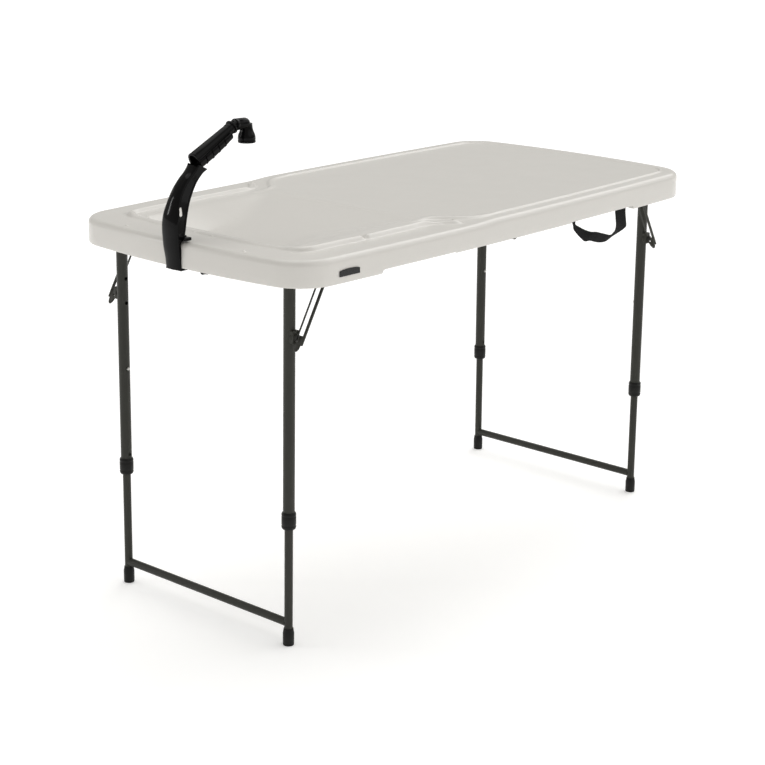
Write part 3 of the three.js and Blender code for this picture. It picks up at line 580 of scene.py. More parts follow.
def top_z(x, y):
    ay = np.abs(y)
    rim = 763.0 - 3.0 * smooth((-64 - x) / 86)
    ledge = 760.0 + 2.0 * smooth((-150 - x) / 90)
    deck = 763.0 - 1.0 * smooth((-170 - x) / 70)
    y_sw = interp(x, SWOOP)
    in_deck = (x > -64) | ((x > -235) & (ay < y_sw))
    y_r = interp(x, RIDGE[:12])
    x_l = interp(ay, [(b, a) for a, b in RIDGE[12:]] + [(232, -540)])
    in_ridge = (x < -146) & (ay < y_r) & (x > x_l)
    base = np.where(in_deck & ((x > -146) | in_ridge), deck, np.where(in_ridge, ledge, rim))
    q = np.column_stack([x, y])
    z = base.copy()
    near = x < -130
    if near.any():
        d, s, side = line_distance(q[near], ridge_line)
        total = ridge_arc[-1]
        end = np.minimum(s, total - s)
        taper = smooth(end / 32.0)
        gx = q[near][:, 0]
        gap = 1 - 0.85 * np.exp(-((gx + 390) / 5.0) ** 2) * (np.abs(q[near][:, 1]) > 200)
        w = np.where(in_ridge[near], 9.0, 11.5)
        prof = np.cos(np.clip(d / w, 0, 1) * math.pi / 2) ** 1.3
        crest = 762.7 + 5.3 * smooth((np.abs(q[near][:, 1]) - 186) / 42)          # low along the left end, full height along the sides
        z[near] = z[near] + (crest - base[near]) * prof * taper * gap
    d, s, side = line_distance(q, bead_line)
    total = bead_arc[-1]
    end = np.minimum(s, total - s)
    taper = smooth(end / 26.0)
    wide = 4.8 + 5.6 * smooth((-18.0 - x) / 60.0)               # a broader roll where the bead swings in to the sink
    prof = np.cos(np.clip(d / wide, 0, 1) * math.pi / 2) ** 1.5
    low = 1 - 0.55 * smooth((x - 545.0) / 35.0) * smooth((262.0 - ay) / 30.0)      # lower along the right end
    top = 766.0 - 0.6 * smooth((-70.0 - x) / 40.0)
    z = np.maximum(z, base + (top - base) * prof * taper * low)
    for bx, by, r, h in [(-562, -141, 4, 2.4), (-568, -24, 4, 2.2), (-562, 141, 4, 2.4), (-568, 24, 4, 2.2), (-617, -158, 4.5, 2.4), (-617, 158, 4.5, 2.4)]:
        rr = np.hypot(x - bx, y - by)
        z = np.maximum(z, base + h * np.cos(np.clip(rr / r, 0, 1) * math.pi / 2))
    wet = x < -165
    b = basin_z(x, y)
    return np.where(wet, smin(z, b, 3.0), z)


def under_z(x, y):
    z = np.full(len(x), 735.0)
    tub = x < -200
    return np.where(tub, smin(z, np.where(tub, basin_z(x, y, 7.0) - 6.5, 800.0), 5.0), z)


def skirt_z(x):
    """Height of the skirt's lower edge at x: hand-hold arches, and a shallower lift between them."""
    left = [(-700, 710), (-418, 710), (-414, 716), (-408, 717), (-214, 717), (-208, 716), (-206, 715), (0, 715)]
    right = [(0, 715), (162, 715), (164, 716), (170, 717), (389, 717), (395, 716), (399, 710), (700, 710)]
    return interp(x, left[:-1] + right)


def rows_along(line, offsets, closed=False):
    """Copies of a line moved sideways, as lists of points."""
    t = np.gradient(line, axis=0)
    t /= np.linalg.norm(t, axis=1)[:, None]
    n = np.column_stack([-t[:, 1], t[:, 0]])
    return [line + n * o for o in offsets]


def triangulate(ring, seam, rows, loose, inside, hole=None):
    """Triangles over the plan area inside ring + seam. rows are lines whose points are joined, loose are single points."""
    pts = [tuple(p) for p in ring]
    edges = [(i, i + 1) for i in range(len(ring) - 1)]
    n0 = len(pts)
    pts += [tuple(p) for p in seam]
    chain = [n0 - 1] + list(range(n0, len(pts))) + [0]
    edges += list(zip(chain, chain[1:]))
    if hole is not None:
        h0 = len(pts)
        pts += [tuple(p) for p in hole]
        k = len(hole)
        edges += [(h0 + i, h0 + (i + 1) % k) for i in range(k)]
    for row in rows:
        ok = inside(row)
        prev = None
        last = None
        for p, good in zip(row, ok):
            if not good:
                prev = None
                continue
            if prev is not None and np.hypot(*(p - last)) < 0.5:
                continue
            if prev is not None and np.hypot(*(p - last)) > 12.0:
                prev = None
            pts.append(tuple(p))
            if prev is not None:
                edges.append((prev, len(pts) - 1))
            prev, last = len(pts) - 1, p
    loose = np.array(loose)
    ok = inside(loose)
    pts += [tuple(p) for p in loose[ok]]
    res = mgeo.delaunay_2d_cdt([Vector(p) for p in pts], edges, [], 1, 1e-4)
    v = np.array([tuple(p) for p in res[0]])
    where = {}
    for i, src in enumerate(res[3]):
        for k in src:
            where[k] = i
    ring_ids = [where[i] for i in range(n0)]
    seam_ids = [where[n0 + i] for i in range(len(seam))]
    hole_ids = [where[h0 + i] for i in range(len(hole))] if hole is not None else []
    faces = [tuple(f) for f in res[2]]
    if hole is not None:
        cx, cy = np.mean(hole, axis=0)
        r = np.hypot(hole[0][0] - cx, hole[0][1] - cy) * 0.999
        faces = [f for f in faces if not all(np.hypot(v[i][0] - cx, v[i][1] - cy) < r * 1.003 for i in f)]
    used = sorted({i for f in faces for i in f})
    new = {o: i for i, o in enumerate(used)}
    return v[used], [tuple(new[i] for i in f) for f in faces], [new[i] for i in ring_ids], [new[i] for i in seam_ids], [new[i] for i in hole_ids]


def grid(x0, x1, y0, y1, step, jitter=True):
    out = []
    j = 0
    y = y0
    while y <= y1:
        x = x0 + (step / 2 if j % 2 and jitter else 0)
        while x <= x1:
            out.append((x, y))
            x += step
        y += step * 0.87
        j += 1
    return out


def tabletop(side):
    """One half of the tabletop as one closed mesh. side -1: the sink half, +1: the work half."""
    extra = [204, 206, 208, 211, 214, 408, 411, 414, 416, 418] if side < 0 else [162, 163, 164, 167, 170, 389, 392, 395, 397, 399]
    h = half_outline([float(e) for e in extra])
    if side < 0:
        h[:, 0] *= -1
        h[:, 2] *= -1
    gap = 0.02 * side

    def ring_xy(inset):
        p = h[:, :2] + h[:, 2:] * inset
        p[0, 0] = p[-1, 0] = gap
        return p

    outer12 = ring_xy(12.0)
    edge0 = h[:, :2]
    hx = np.abs(h[:, 0])

    def inside_from(inset):
        lim = ring_xy(inset)
        poly = np.vstack([lim, lim[:1]])

        def f(q):
            q = np.array(q, float).reshape(-1, 2)
            x, y = q[:, 0] * side, q[:, 1]
            # even-odd rule against the ring, closed along the seam
            ins = np.zeros(len(q), bool)
            px, py = poly[:, 0] * side, poly[:, 1]
            for i in range(len(px) - 1):
                c = (py[i] > y) != (py[i + 1] > y)
                if c.any():
                    xi = px[i] + (y - py[i]) / (py[i + 1] - py[i] + 1e-12) * (px[i + 1] - px[i])
                    ins ^= c & (x < xi)
            return ins & (x > 1.4)
        return f

    seam_top = [(gap, y) for y in np.concatenate([np.linspace(300, 292, 3), [289.5, 288, 286.7, 285.5, 284.3, 283, 281.5], np.linspace(274, -274, 24),
                                                  [-281.5, -283, -284.3, -285.5, -286.7, -288, -289.5], np.linspace(-292, -300, 3)])]
    rows, loose = [], []
    if side < 0:
        rows += rows_along(ridge_line, (-11.5, -10.2, -9, -7.5, -6, -4.5, -3, -1.5, 0, 1.5, 3, 4.5, 6, 7.5, 9, 10.2, 11.5))
        rows += [r[r[:, 0] < -2] for r in rows_along(bead_line, (-10.4, -8.6, -6.6, -4.8, -3.4, -2.4, -1.2, 0, 1.2, 2.4, 3.4, 4.8, 6.6, 8.6, 10.4))]
        for off in (-6, -3, -1.4, 0, 1.4, 3, 6):
            for s in (-1, 1):
                rows.append(np.array([(x, s * (interp(x, [(-560, 196), (-515, 200), (-410, 200.6), (-306, 195.4), (-192, 190.8), (-170, 190)]) + off)) for x in np.arange(-530, -196, 6.0)]))
                rows.append(np.array([(x, s * ((93.0 if x < -376 else 93.0 + 0.603 * (x + 376)) + off * 1.6)) for x in np.arange(-534, -232, 7.0)]))
        for xl in (-549.5, -548.2, -547.2, -546, -544.5, -543, -541.5, -540, -538, -535):
            rows.append(np.array([(xl, y) for y in np.arange(-180, 180.1, 7.0)]))
        for k in range(10):
            rows.append(np.array([(-546 + 3.2 * k + 0.012 * (abs(y) - 145) * 0, y) for y in ()]).reshape(-1, 2))
        for r in (15, 17, 18.6, 19.4, 20.2, 21, 23):
            rows.append(np.array([(-524 + r * math.cos(t), r * math.sin(t)) for t in np.linspace(0, 2 * math.pi, 41)]))
        loose += grid(-545, -180, -205, 205, 8.0)
        loose += grid(-551, -505, 120, 205, 3.2) + grid(-551, -505, -205, -120, 3.2)
        loose += grid(-205, -165, -195, 195, 5.0)
        loose += grid(-630, -2, -305, 305, 17.0)
        for bx, by in [(-562, -141), (-568, -24), (-562, 141), (-568, 24), (-617, -158), (-617, 158)]:
            for r in (0.01, 1.3, 2.5, 3.4, 4.2, 5.5):
                loose += [(bx + r * math.cos(t), by + r * math.sin(t)) for t in np.linspace(0, 2 * math.pi, 9 if r > 1 else 2)[:-1]]
        hole = [(-524 + 13.3 * math.cos(t), 13.3 * math.sin(t)) for t in np.linspace(0, 2 * math.pi, 41)[:-1]]
    else:
        rows += [r[r[:, 0] > 2] for r in rows_along(bead_line, (-6.2, -4.8, -3.6, -2.4, -1.2, 0, 1.2, 2.4, 3.6, 4.8, 6.2))]
        loose += grid(6, 625, -305, 305, 19.0)
        hole = None
    ok12 = inside_from(13.2)
    if hole is not None:
        def ok_top(q):
            q = np.array(q, float).reshape(-1, 2)
            return ok12(q) & (np.hypot(q[:, 0] + 524, q[:, 1]) > 14.2)
    else:
        ok_top = ok12
    tv, tf, tr, ts, th = triangulate(outer12, seam_top, rows, loose, ok_top, hole)
    tz = top_z(tv[:, 0], tv[:, 1])

    seam_low = [(gap, y) for y in np.linspace(296, -296, 12)]
    rows_u, loose_u = [], grid(-630, -6, -300, 300, 24.0) if side < 0 else grid(6, 630, -300, 300, 26.0)
    dimples = []
    if side < 0:
        loose_u += grid(-556, -335, -160, 160, 9.0)
        for r in (15, 17.5, 19.5, 22):
            rows_u.append(np.array([(-524 + r * math.cos(t), r * math.sin(t)) for t in np.linspace(0, 2 * math.pi, 41)]))
        dimples = [(-300 + 36 * i + (18 if j % 2 else 0), -162 + 36 * j) for i in range(7) for j in range(10)]
        dimples = [(x, y) for x, y in dimples if -305 < x < -62]
    else:
        dimples = [(72 + 36 * i + (18 if j % 2 else 0), -162 + 36 * j) for i in range(13) for j in range(10)]
        dimples = [(x, y) for x, y in dimples if x < 520]
    for dx, dy in dimples:
        for r, m in ((0.02, 1), (5.0, 10), (8.5, 10)):
            loose_u += [(dx + r * math.cos(t + 0.3), dy + r * math.sin(t + 0.3)) for t in np.linspace(0, 2 * math.pi, m + 1)[:-1]]
    loose_u = np.array(loose_u)
    if dimples:
        dd = np.array(dimples)
        near = np.array([np.min(np.hypot(*(dd - p).T)) for p in loose_u])
        loose_u = loose_u[(near < 8.6) | (near > 11.0)]
    ok20 = inside_from(20.5)
    def ok_low(q):
        q = np.array(q, float).reshape(-1, 2)
        return ok20(q) & (np.hypot(q[:, 0] + 524, q[:, 1]) > 14.2)
    inner19 = ring_xy(19.0)
    uv, uf, ur, us, uh = triangulate(inner19, seam_low, rows_u, loose_u, ok_low, hole)
    uz = under_z(uv[:, 0], uv[:, 1])
    if dimples:
        for i, p in enumerate(uv):
            r = np.min(np.hypot(*(dd - p).T))
            if r < 8.0:
                uz[i] += 4.0 * float(1 - smooth((r - 4.9) / 3.2))

    zt = tz[np.array(tr)]
    zb = skirt_z(h[:, 0])
    rings = []
    for a in range(1, 9):
        t = a / 8 * math.pi / 2
        rings.append((12 - 12 * math.sin(t), zt - 12 + 12 * math.cos(t)))
    for k in (0.33, 0.66):
        rings.append((0.0, (zt - 12) * (1 - k) + (zb + 2.4) * k))
    rings += [(0.0, zb + 2.4), (0.35, zb + 1.1), (1.1, zb + 0.35), (2.4, zb), (13.6, zb), (14.9, zb + 0.35), (15.65, zb + 1.1), (16.0, zb + 2.4),
              (16.0, np.full(len(zb), 724.0)), (16.0, np.full(len(zb), 732.0)), (16.45, np.full(len(zb), 733.6)), (17.5, np.full(len(zb), 734.6))]
    n = len(h)
    verts = [np.column_stack([tv, tz])]
    base = len(tv)
    ids = [tr]
    for inset, z in rings:
        p = ring_xy(inset)
        verts.append(np.column_stack([p, z]))
        ids.append(list(range(base, base + n)))
        base += n
    verts.append(np.column_stack([uv, uz]))
    off = base
    ids.append([off + i for i in ur])
    faces = list(tf)
    for p, q in zip(ids, ids[1:]):
        faces += [(p[i], p[i + 1], q[i + 1], q[i]) for i in range(n - 1)]
    faces += [tuple(off + i for i in reversed(f)) for f in uf]
    seam_face = [tr[-1]] + list(ts) + [tr[0]]
    seam_face += [r[0] for r in ids[1:]]
    seam_face += [off + i for i in reversed(us)]
    seam_face += [r[-1] for r in reversed(ids[1:])]
    faces.append(tuple(seam_face))
    if hole is not None:
        k = len(th)
        faces += [(th[i], th[(i + 1) % k], off + uh[(i + 1) % k], off + uh[i]) for i in range(k)]
    return np.vstack(verts), faces


sink_top = show("sink_half_tabletop", tabletop(-1), PLASTIC, "sink_half", ["sink_half_top"], 42)
work_top = show("work_half_tabletop", tabletop(1), PLASTIC, "work_half", ["work_half_top"], 42)

# ------------------------------------------------------------------ tabletop hinges
def screw(x, y, z, d=(0, 0, -1), r=3.8, h=2.4):
    """A pan head with a cross recess."""
    head = lathe([(0, 0), (r, 0), (r, 0.35 * h), (r * 0.9, 0.7 * h), (r * 0.62, h * 0.95), (0, h)], (x, y, z), d, 24)
    d, e1, e2 = frame_axes(d)
    c = np.array([x, y, z], float)
    cuts = []
    for u, v in ((e1, e2), (e2, e1)):
        pts = [c + d * (h - 1.0) + u * (s * r * 0.52) + v * (t * r * 0.13) for s, t in ((-1, -1), (1, -1), (1, 1), (-1, 1))]
        top = [p + d * 3 for p in pts]
        cuts.append((np.array(pts + top), [(3, 2, 1, 0), (4, 5, 6, 7), (0, 1, 5, 4), (1, 2, 6, 5), (2, 3, 7, 6), (3, 0, 4, 7)]))
    return boolean(boolean(head, cuts[:1]), cuts[1:])


for side, s in SIDES.items():
    yc = s * 281.0
    for tag, k in (("sink", 1), ("work", -1)):
        f = lambda pts: [(k * x, z) for x, z in pts]
        flat = soften(prism(f([(-46, 731.7), (-9, 731.7), (-9, 734.6), (-46, 734.6)]), yc - 19, yc + 19), 0.8, 2)
        drop = [(-14, 731.7), (-10.5, 731.7), (-8.2, 730.6), (-7.1, 728.2), (-7.0, 712.0), (-1.2, 712.0), (-1.2, 734.6), (-14, 734.6)]
        spans = [(yc - 19, yc - 7.2), (yc + 7.2, yc + 19)] if tag == "sink" else [(yc - 6.8, yc + 6.8)]
        bore = rod((0, yc - 30, 712), (0, yc + 30, 712), 3.2, seg=24)
        parts = [flat]
        for a, b in spans:
            parts.append(prism(f(drop), a, b))
            parts.append(rod((0, a, 712), (0, b, 712), 7.0, seg=36, soft=0.7))
        lug = [(-29, 702), (-21, 702), (-19, 706), (-19, 733), (-31, 733), (-31, 706)] if tag == "sink" else [(-15, 702), (-9, 702), (-8, 706), (-8, 733), (-17, 733), (-17, 706)]
        parts.append(soften(prism(f(lug), yc - 4, yc + 4), 0.8, 2))
        leaf = boolean(parts[0], parts[1:], "UNION")
        leaf = boolean(leaf, [bore])
        show(f"fold_hinge_{tag}_{side}", leaf, BLACKSTEEL, f"{tag}_half", [f"fold_hinge_leaf_{tag}_{side}"], 30)
        for i, (x, dy) in enumerate([(-38, -12), (-38, 12), (-24 if tag == "sink" else -27, -13), (-24 if tag == "sink" else -27, 13)]):
            show(f"fold_hinge_screw_{tag}_{side}_{i}", screw(k * x, yc + dy, 731.75), ZINC, f"{tag}_half")
    pin = lathe([(0, 0), (2.3, 0), (2.7, 0.5), (2.7, 39.2), (4.3, 39.3), (4.6, 39.8), (4.2, 40.6), (2.6, 41.0), (0, 41.1)], (0, yc - s * 20, 712), (0, s, 0), 32)
    show(f"fold_hinge_pin_{side}_fine", pin, ZINC, "sink_half", [f"fold_hinge_pin_{side}"])


# ------------------------------------------------------------------ leg frames
def tube(z0, z1, r, ri, y, edge=0.35, seg=56):
    return lathe([(ri, z0), (r - edge, z0), (r, z0 + edge), (r, z1 - edge), (r - edge, z1), (ri, z1)], (0, y, 0), (0, 0, 1), seg, ring=True)


def weld(centre, d, r, w=2.2, seg=40, seed=0):
    """A fillet of weld round a joint, lumpy as it is run."""
    d, e1, e2 = frame_axes(d)
    c = np.array(centre, float)
    rng = np.random.default_rng(seed)
    ph = rng.random(4) * 6.28
    verts, faces = [], []
    m = 8
    for i in range(seg):
        t = 2 * math.pi * i / seg
        lump = 1 + 0.12 * math.sin(seg / 3.2 * t + ph[0]) + 0.07 * math.sin(5 * t + ph[1])
        for j in range(m):
            q = 2 * math.pi * j / m
            rr = r + w * lump * 0.5 * math.cos(q)
            verts.append(c + rr * (math.cos(t) * e1 + math.sin(t) * e2) + d * w * 0.5 * lump * math.sin(q))
    for i in range(seg):
        for j in range(m):
            a, b = i * m + j, i * m + (j + 1) % m
            e, f = ((i + 1) % seg) * m + j, ((i + 1) % seg) * m + (j + 1) % m
            faces.append((a, b, f, e))
    return np.array(verts), faces


def leg_frame(tag):
    L = lambda z: z - HINGE_Z
    upper, lower = f"{tag}_upper_frame", f"{tag}_lower_frame"
    for side, s in SIDES.items():
        y = s * LEG_Y
        up = tube(L(240.4), 7.9, 11.15, 9.85, y)
        cuts = [rod((0, y - s * 5, L(z)), (0, y - s * 20, L(z)), 3.8, seg=28) for z in (456, 590, 639, 277)]
        cuts.append(rod((0, y - 20, 0), (0, y + 20, 0), 6.5, seg=32))
        up = boolean(up, cuts)
        show(f"upper_leg_{tag}_{side}", place(up, tag), LEG, upper, [f"upper_leg_tube_{tag}_{side}"], 35)
        z = L(608.0)
        lug = soften(prism([(-8, z - 12), (8, z - 12), (8, z + 12), (-8, z + 12)], min(y + s * 6, y + s * 17), max(y + s * 6, y + s * 17)), 1.2, 3)
        lug = boolean(lug, [rod((0, y, z - 30), (0, y, z + 30), 10.6, seg=48)])
        show(f"brace_lug_{tag}_{side}", place(lug, tag), LEG, upper)
        stud = lathe([(0, 0), (3.5, 0), (3.5, 5.8), (5.8, 5.9), (6.2, 6.3), (6.0, 7.3), (4.6, 8.3), (0, 8.6)], (0, y + s * 14, z), (0, s, 0), 36)
        show(f"brace_stud_{tag}_{side}", place(stud, tag), BLACKSTEEL, upper)
        # plug in the top of the tube
        cap = lathe([(0, 6.4), (9.6, 6.4), (9.6, 7.6), (11.0, 7.7), (11.1, 8.1), (10.2, 8.7), (7, 8.9), (0, 8.95)], (0, y, 0), (0, 0, 1), 48)
        show(f"upper_leg_plug_{tag}_{side}", place(cap, tag), BLACKPL, upper)
        col = lathe([(8.45, L(235.2)), (11.6, L(235)), (12.5, L(235.4)), (13.2, L(236.6)), (13.95, L(239.2)), (14.0, L(241)), (13.55, L(241.8)), (13.55, L(243.4)), (14.0, L(244.2)),
                     (14.0, L(259.6)), (13.55, L(260.4)), (13.55, L(262)), (14.0, L(262.8)), (13.9, L(264.6)), (13.2, L(266.8)), (12.4, L(267.8)), (11.5, L(268)),
                     (11.5, L(240)), (8.45, L(240))], (0, y, 0), (0, 0, 1), 64, ring=True)
        show(f"collar_{tag}_{side}", place(col, tag), BLACKPL, upper, [f"leg_collar_{tag}_{side}"], 30)
        lo = tube(L(6), L(510), 8.1, 6.9, y)
        show(f"lower_leg_{tag}_{side}", place(lo, tag), LEG, lower, [f"lower_leg_tube_{tag}_{side}"], 35)
        foot = lathe([(0, L(-3)), (11.0, L(-3)), (11.0, L(3.0)), (10.72, L(3.5)), (10.72, L(4.5)), (11.0, L(5.0)), (11.0, L(24.5)), (10.75, L(26.2)), (10.1, L(29.6)), (9.75, L(31.4)), (9.6, L(33.2)), (9.2, L(34)), (8.45, L(34)),
                      (8.45, L(5.6)), (0, L(5.6))], (0, y, 0), (0, 0, 1), 64)
        v, f = place(foot, tag)
        v[:, 2] = np.maximum(v[:, 2], 0.0)
        below = v[:, 2] < 0.7
        axis_x = HX[tag] - DIR[tag] * 7
        rr = np.hypot(v[:, 0] - axis_x, v[:, 1] - y)
        edge = below & (rr > 5)
        v[edge, 0] = axis_x + (v[edge, 0] - axis_x) * 0.95
        v[edge, 1] = y + (v[edge, 1] - y) * 0.95
        show(f"foot_{tag}_{side}", (v, f), BLACKPL, lower, [f"foot_cap_{tag}_{side}"], 30)
        yi, yo = y - s * 9.65, y - s * 14.05
        hgt = abs(yo - yi)
        prof = [(0, 0), (3.2, 0), (3.2, hgt - 1.75)] + [(3.2 * math.cos(t), hgt - 1.75 + 1.75 * math.sin(t)) for t in np.linspace(0.15, math.pi / 2 - 0.12, 7)] + [(0, hgt)]
        show(f"button_{tag}_{side}", place(lathe(prof, (0, yi, L(456)), (0, -s, 0), 32), tag), ZINC, f"snap_button_{tag}_{side}", [f"snap_button_{tag}_{side}"])
        show(f"crossbar_weld_{tag}_{side}", place(weld((0, y - s * 8.6, L(44)), (0, 1, 0), 7.25, 1.5, 48, 3 + s), tag), LEG, lower, sharp=60)
        show(f"lug_weld_{tag}_{side}", place(weld((0, y + s * 10.9, z), (0, 1, 0), 8.6, 2.2, 44, 11 + s), tag), LEG, upper, sharp=60)
    w = LEG_Y + 13.6
    rodp = lathe([(0, 0), (7.2, 0), (8, 0.8), (8, 1.5), (7.4, 2.0), (6, 2.0), (6, 2 * w - 2.0), (7.4, 2 * w - 2.0), (8, 2 * w - 1.5), (8, 2 * w - 0.8), (7.2, 2 * w), (0, 2 * w)], (0, -w, 0), (0, 1, 0), 40)
    show(f"hinge_rod_{tag}", place(rodp, tag), LEG, upper, [f"leg_hinge_rod_{tag}"], 30)
    zc = L(44)
    cross = boolean(rod((0, -LEG_Y, zc), (0, LEG_Y, zc), 7.9, seg=48), [rod((0, q, zc - 20), (0, q, zc + 20), 8.5, seg=48) for q in (-LEG_Y, LEG_Y)])
    # the cut leaves slivers beyond the legs' middles; only the bar between the legs is kept
    bm = to_bm(cross)
    far = [q for q in bm.verts if abs(q.co.y) > LEG_Y - 1.0]
    bmesh.ops.delete(bm, geom=far, context="VERTS")
    bmesh.ops.holes_fill(bm, edges=[e for e in bm.edges if e.is_boundary], sides=0)
    cross = from_bm(bm)
    show(f"crossbar_bar_{tag}", place(cross, tag), LEG, lower, [f"crossbar_{tag}"], 35)


leg_frame("sink")
leg_frame("work")

# rod brackets: moulded saddles, each held by two screws that are not drawn
for tag in ("sink", "work"):
    hx = HX[tag]
    for side, s in SIDES.items():
        a, b = sorted((s * 203.0, s * 189.0))
        arc = [(hx + 10.5 * math.cos(t), HINGE_Z + 10.5 * math.sin(t)) for t in np.linspace(math.pi, 2 * math.pi, 25)]
        shape = [(hx - 12.5, 734.7), (hx - 12.5, 728.6), (hx - 10.5, 727.4)] + arc + [(hx + 10.5, 727.4), (hx + 12.5, 728.6), (hx + 12.5, 734.7)]
        m = soften(prism(shape, a, b), 0.9, 2, 40)
        m = boolean(m, [rod((hx, a - 5, HINGE_Z), (hx, b + 5, HINGE_Z), 6.5, seg=40)])
        show(f"rod_saddle_{tag}_{side}", m, BLACKPL, f"{tag}_half", [f"rod_bracket_{tag}_{side}"], 30)

# braces and rails
for tag in ("sink", "work"):
    hx, d = HX[tag], DIR[tag]
    px, pz = hx - d * math.sin(SPLAY) * 113.0, HINGE_Z - math.cos(SPLAY) * 113.0
    tx, tz = hx + d * 63.0, 718.0
    ln = math.hypot(tx - px, tz - pz)
    ux, uz = (tx - px) / ln, (tz - pz) / ln
    nx, nz = -uz * d, ux * d
    P = lambda t, n: (px + ux * t + nx * n, pz + uz * t + nz * n)
    for side, s in SIDES.items():
        Y = lambda a, b: sorted((s * a, s * b))
        eye = lambda t, n, r, y0, y1: rod((P(t, n)[0], s * y0, P(t, n)[1]), (P(t, n)[0], s * y1, P(t, n)[1]), r, seg=40, soft=0.35)
        inner = soften(prism([P(-14.3, -1.4), P(-13.4, -2.8), P(-12.2, -3.1), P(ln, -3.1), P(ln, 0.3), P(-12.2, 0.3), P(-13.4, 0.0)], *Y(244.3, 246.3)), 0.35, 2, 40)
        outer = soften(prism([P(-13.4, -1.5), P(-12.6, -2.9), P(-11, -3.4), P(-2, -3.6), P(ln, -3.6), P(ln, 0.6), P(-2, 0.6), P(-11, 0.4), P(-12.6, -0.1)], *Y(258.4, 263.4)), 0.8, 2, 40)
        tongue = [(5, 250.6), (5, 259), (-14, 259), (-18.5, 258.7), (-22, 257.6), (-24.6, 255.8), (-26, 253.2), (-25.4, 251.4), (-22.8, 248.8), (-19.2, 246.6), (-14.5, 244.9), (-9.8, 244.9), (-9, 245.6), (-9, 249.8), (-8.2, 250.6)]
        k = len(tongue)
        tv = np.array([(P(t, n)[0], s * y, P(t, n)[1]) for n in (-2.6, -0.2) for t, y in tongue])
        web = soften((tv, [tuple(range(k)), tuple(reversed(range(k, 2 * k)))] + [(i, i + k, (i + 1) % k + k, (i + 1) % k) for i in range(k)]), 0.4, 2, 40)
        m = boolean(inner, [rod((px, s * 244.3, pz), (px, s * 246.3, pz), 7.2, seg=44, soft=0.35), eye(ln, -1.4, 5.6, 244.3, 246.3)], "UNION")
        m = boolean(m, [boolean(outer, [eye(ln, -1.4, 5.6, 258.4, 263.4)], "UNION"), web, eye(ln, -1.4, 3.0, 244.8, 262.9)], "UNION")
        m = boolean(m, [rod((px, s * 238, pz), (px, s * 248.4, pz), 3.85, seg=28)])
        show(f"brace_{tag}_{side}", m, LEG, f"{tag}_braces", [f"leg_brace_{tag}_{side}"], 30)
        X = lambda a, b: sorted((hx + d * a, hx + d * b))
        strip = soften(block(*X(38, 272), *Y(248.4, 261), 731.2, 734.7), 0.6, 2)
        guides = []
        for a, b in ((44, 80), (214, 266)):
            guides.append(soften(prism([(X(a, b)[0], 722.6), (X(a, b)[1], 722.6), (X(a, b)[1], 732.4), (X(a, b)[0], 732.4)], *Y(248.0, 256.6)), 1.0, 2))
        m = boolean(strip, guides, "UNION")
        show(f"rail_{tag}_{side}", m, BLACKSTEEL, f"{tag}_half", [f"brace_rail_{tag}_{side}"], 30)
        for i, q in enumerate((100, 145, 190)):
            show(f"rail_screw_{tag}_{side}_{i}", screw(hx + d * q, s * 254.7, 731.25, r=3.2, h=1.7), ZINC, f"{tag}_half")

# ------------------------------------------------------------------ drain
DX = -524.0
strainer = lathe([(0, 24.9), (6, 25.1), (10.5, 25.4), (13.6, 25.6), (15.4, 25.2), (16.3, 24.5), (16.2, 23.9), (15.4, 23.5), (12.9, 23.4), (12.9, 18.2), (12.5, 17.8), (12.9, 17.4), (12.9, 15.8), (12.5, 15.4), (12.9, 15.0),
                  (12.9, 3.4), (12.5, 3.0), (12.9, 2.6), (12.9, 1.0), (12.4, 0), (10.4, 0), (10.2, 0.4), (10.2, 21.0), (0, 21.0)], (DX, 0, 696.9), (0, 0, 1), 64)
holes = [rod((DX + 6.6 * math.cos(i * math.pi / 3), 6.6 * math.sin(i * math.pi / 3), 716), (DX + 6.6 * math.cos(i * math.pi / 3), 6.6 * math.sin(i * math.pi / 3), 725), 2.1, seg=20) for i in range(6)]
show("strainer_fine", boolean(strainer, holes), BLACKPL, "sink_half", ["drain_strainer"], 30)
nut = [(DX + (19.0 + 1.0 * math.cos(6 * t)) * math.cos(t), (19.0 + 1.0 * math.cos(6 * t)) * math.sin(t)) for t in np.linspace(0, 2 * math.pi, 73)[:-1]]
nut = [(DX + (x - DX) * 0.95, y * 0.95) for x, y in nut]
nutm = boolean(soften(prism(nut, 703.4, 713.0, "xy"), 1.0, 2, 40), [rod((DX, 0, 690), (DX, 0, 720), 13.5, seg=48)])
show("drain_nut_fine", nutm, BLACKPL, "sink_half", ["drain_nut"], 30)
ez = 688.5
barb = lathe([(0, 0), (7, 0), (6.6, 19.6), (6.8, 20), (7.2, 20.3), (7.2, 21.0), (5.8, 27), (7.0, 27.2), (7.2, 27.6), (7.2, 28.2), (5.8, 34), (7.0, 34.2), (7.2, 34.6), (7.2, 35.2), (5.8, 41), (5.7, 46.8), (5.3, 48), (0, 48)], (DX, 0, ez), (-1, 0, 0), 48)
elb = [lathe([(0, 0), (6.4, 0.3), (8.0, 1.4), (8.5, 3.4), (9.8, 19.4), (0, 19.4)], (DX, 0, ez - 7), (0, 0, 1), 48), barb]
m = boolean(elb[0], [elb[1]], "UNION")
m = boolean(m, [rod((DX, 0, ez), (DX, 0, 700), 6, seg=32)])
m = boolean(m, [rod((DX + 1, 0, ez), (-595, 0, ez), 4, seg=32)])
show("drain_elbow_fine", m, BLACKPL, "sink_half", ["drain_elbow"], 30)

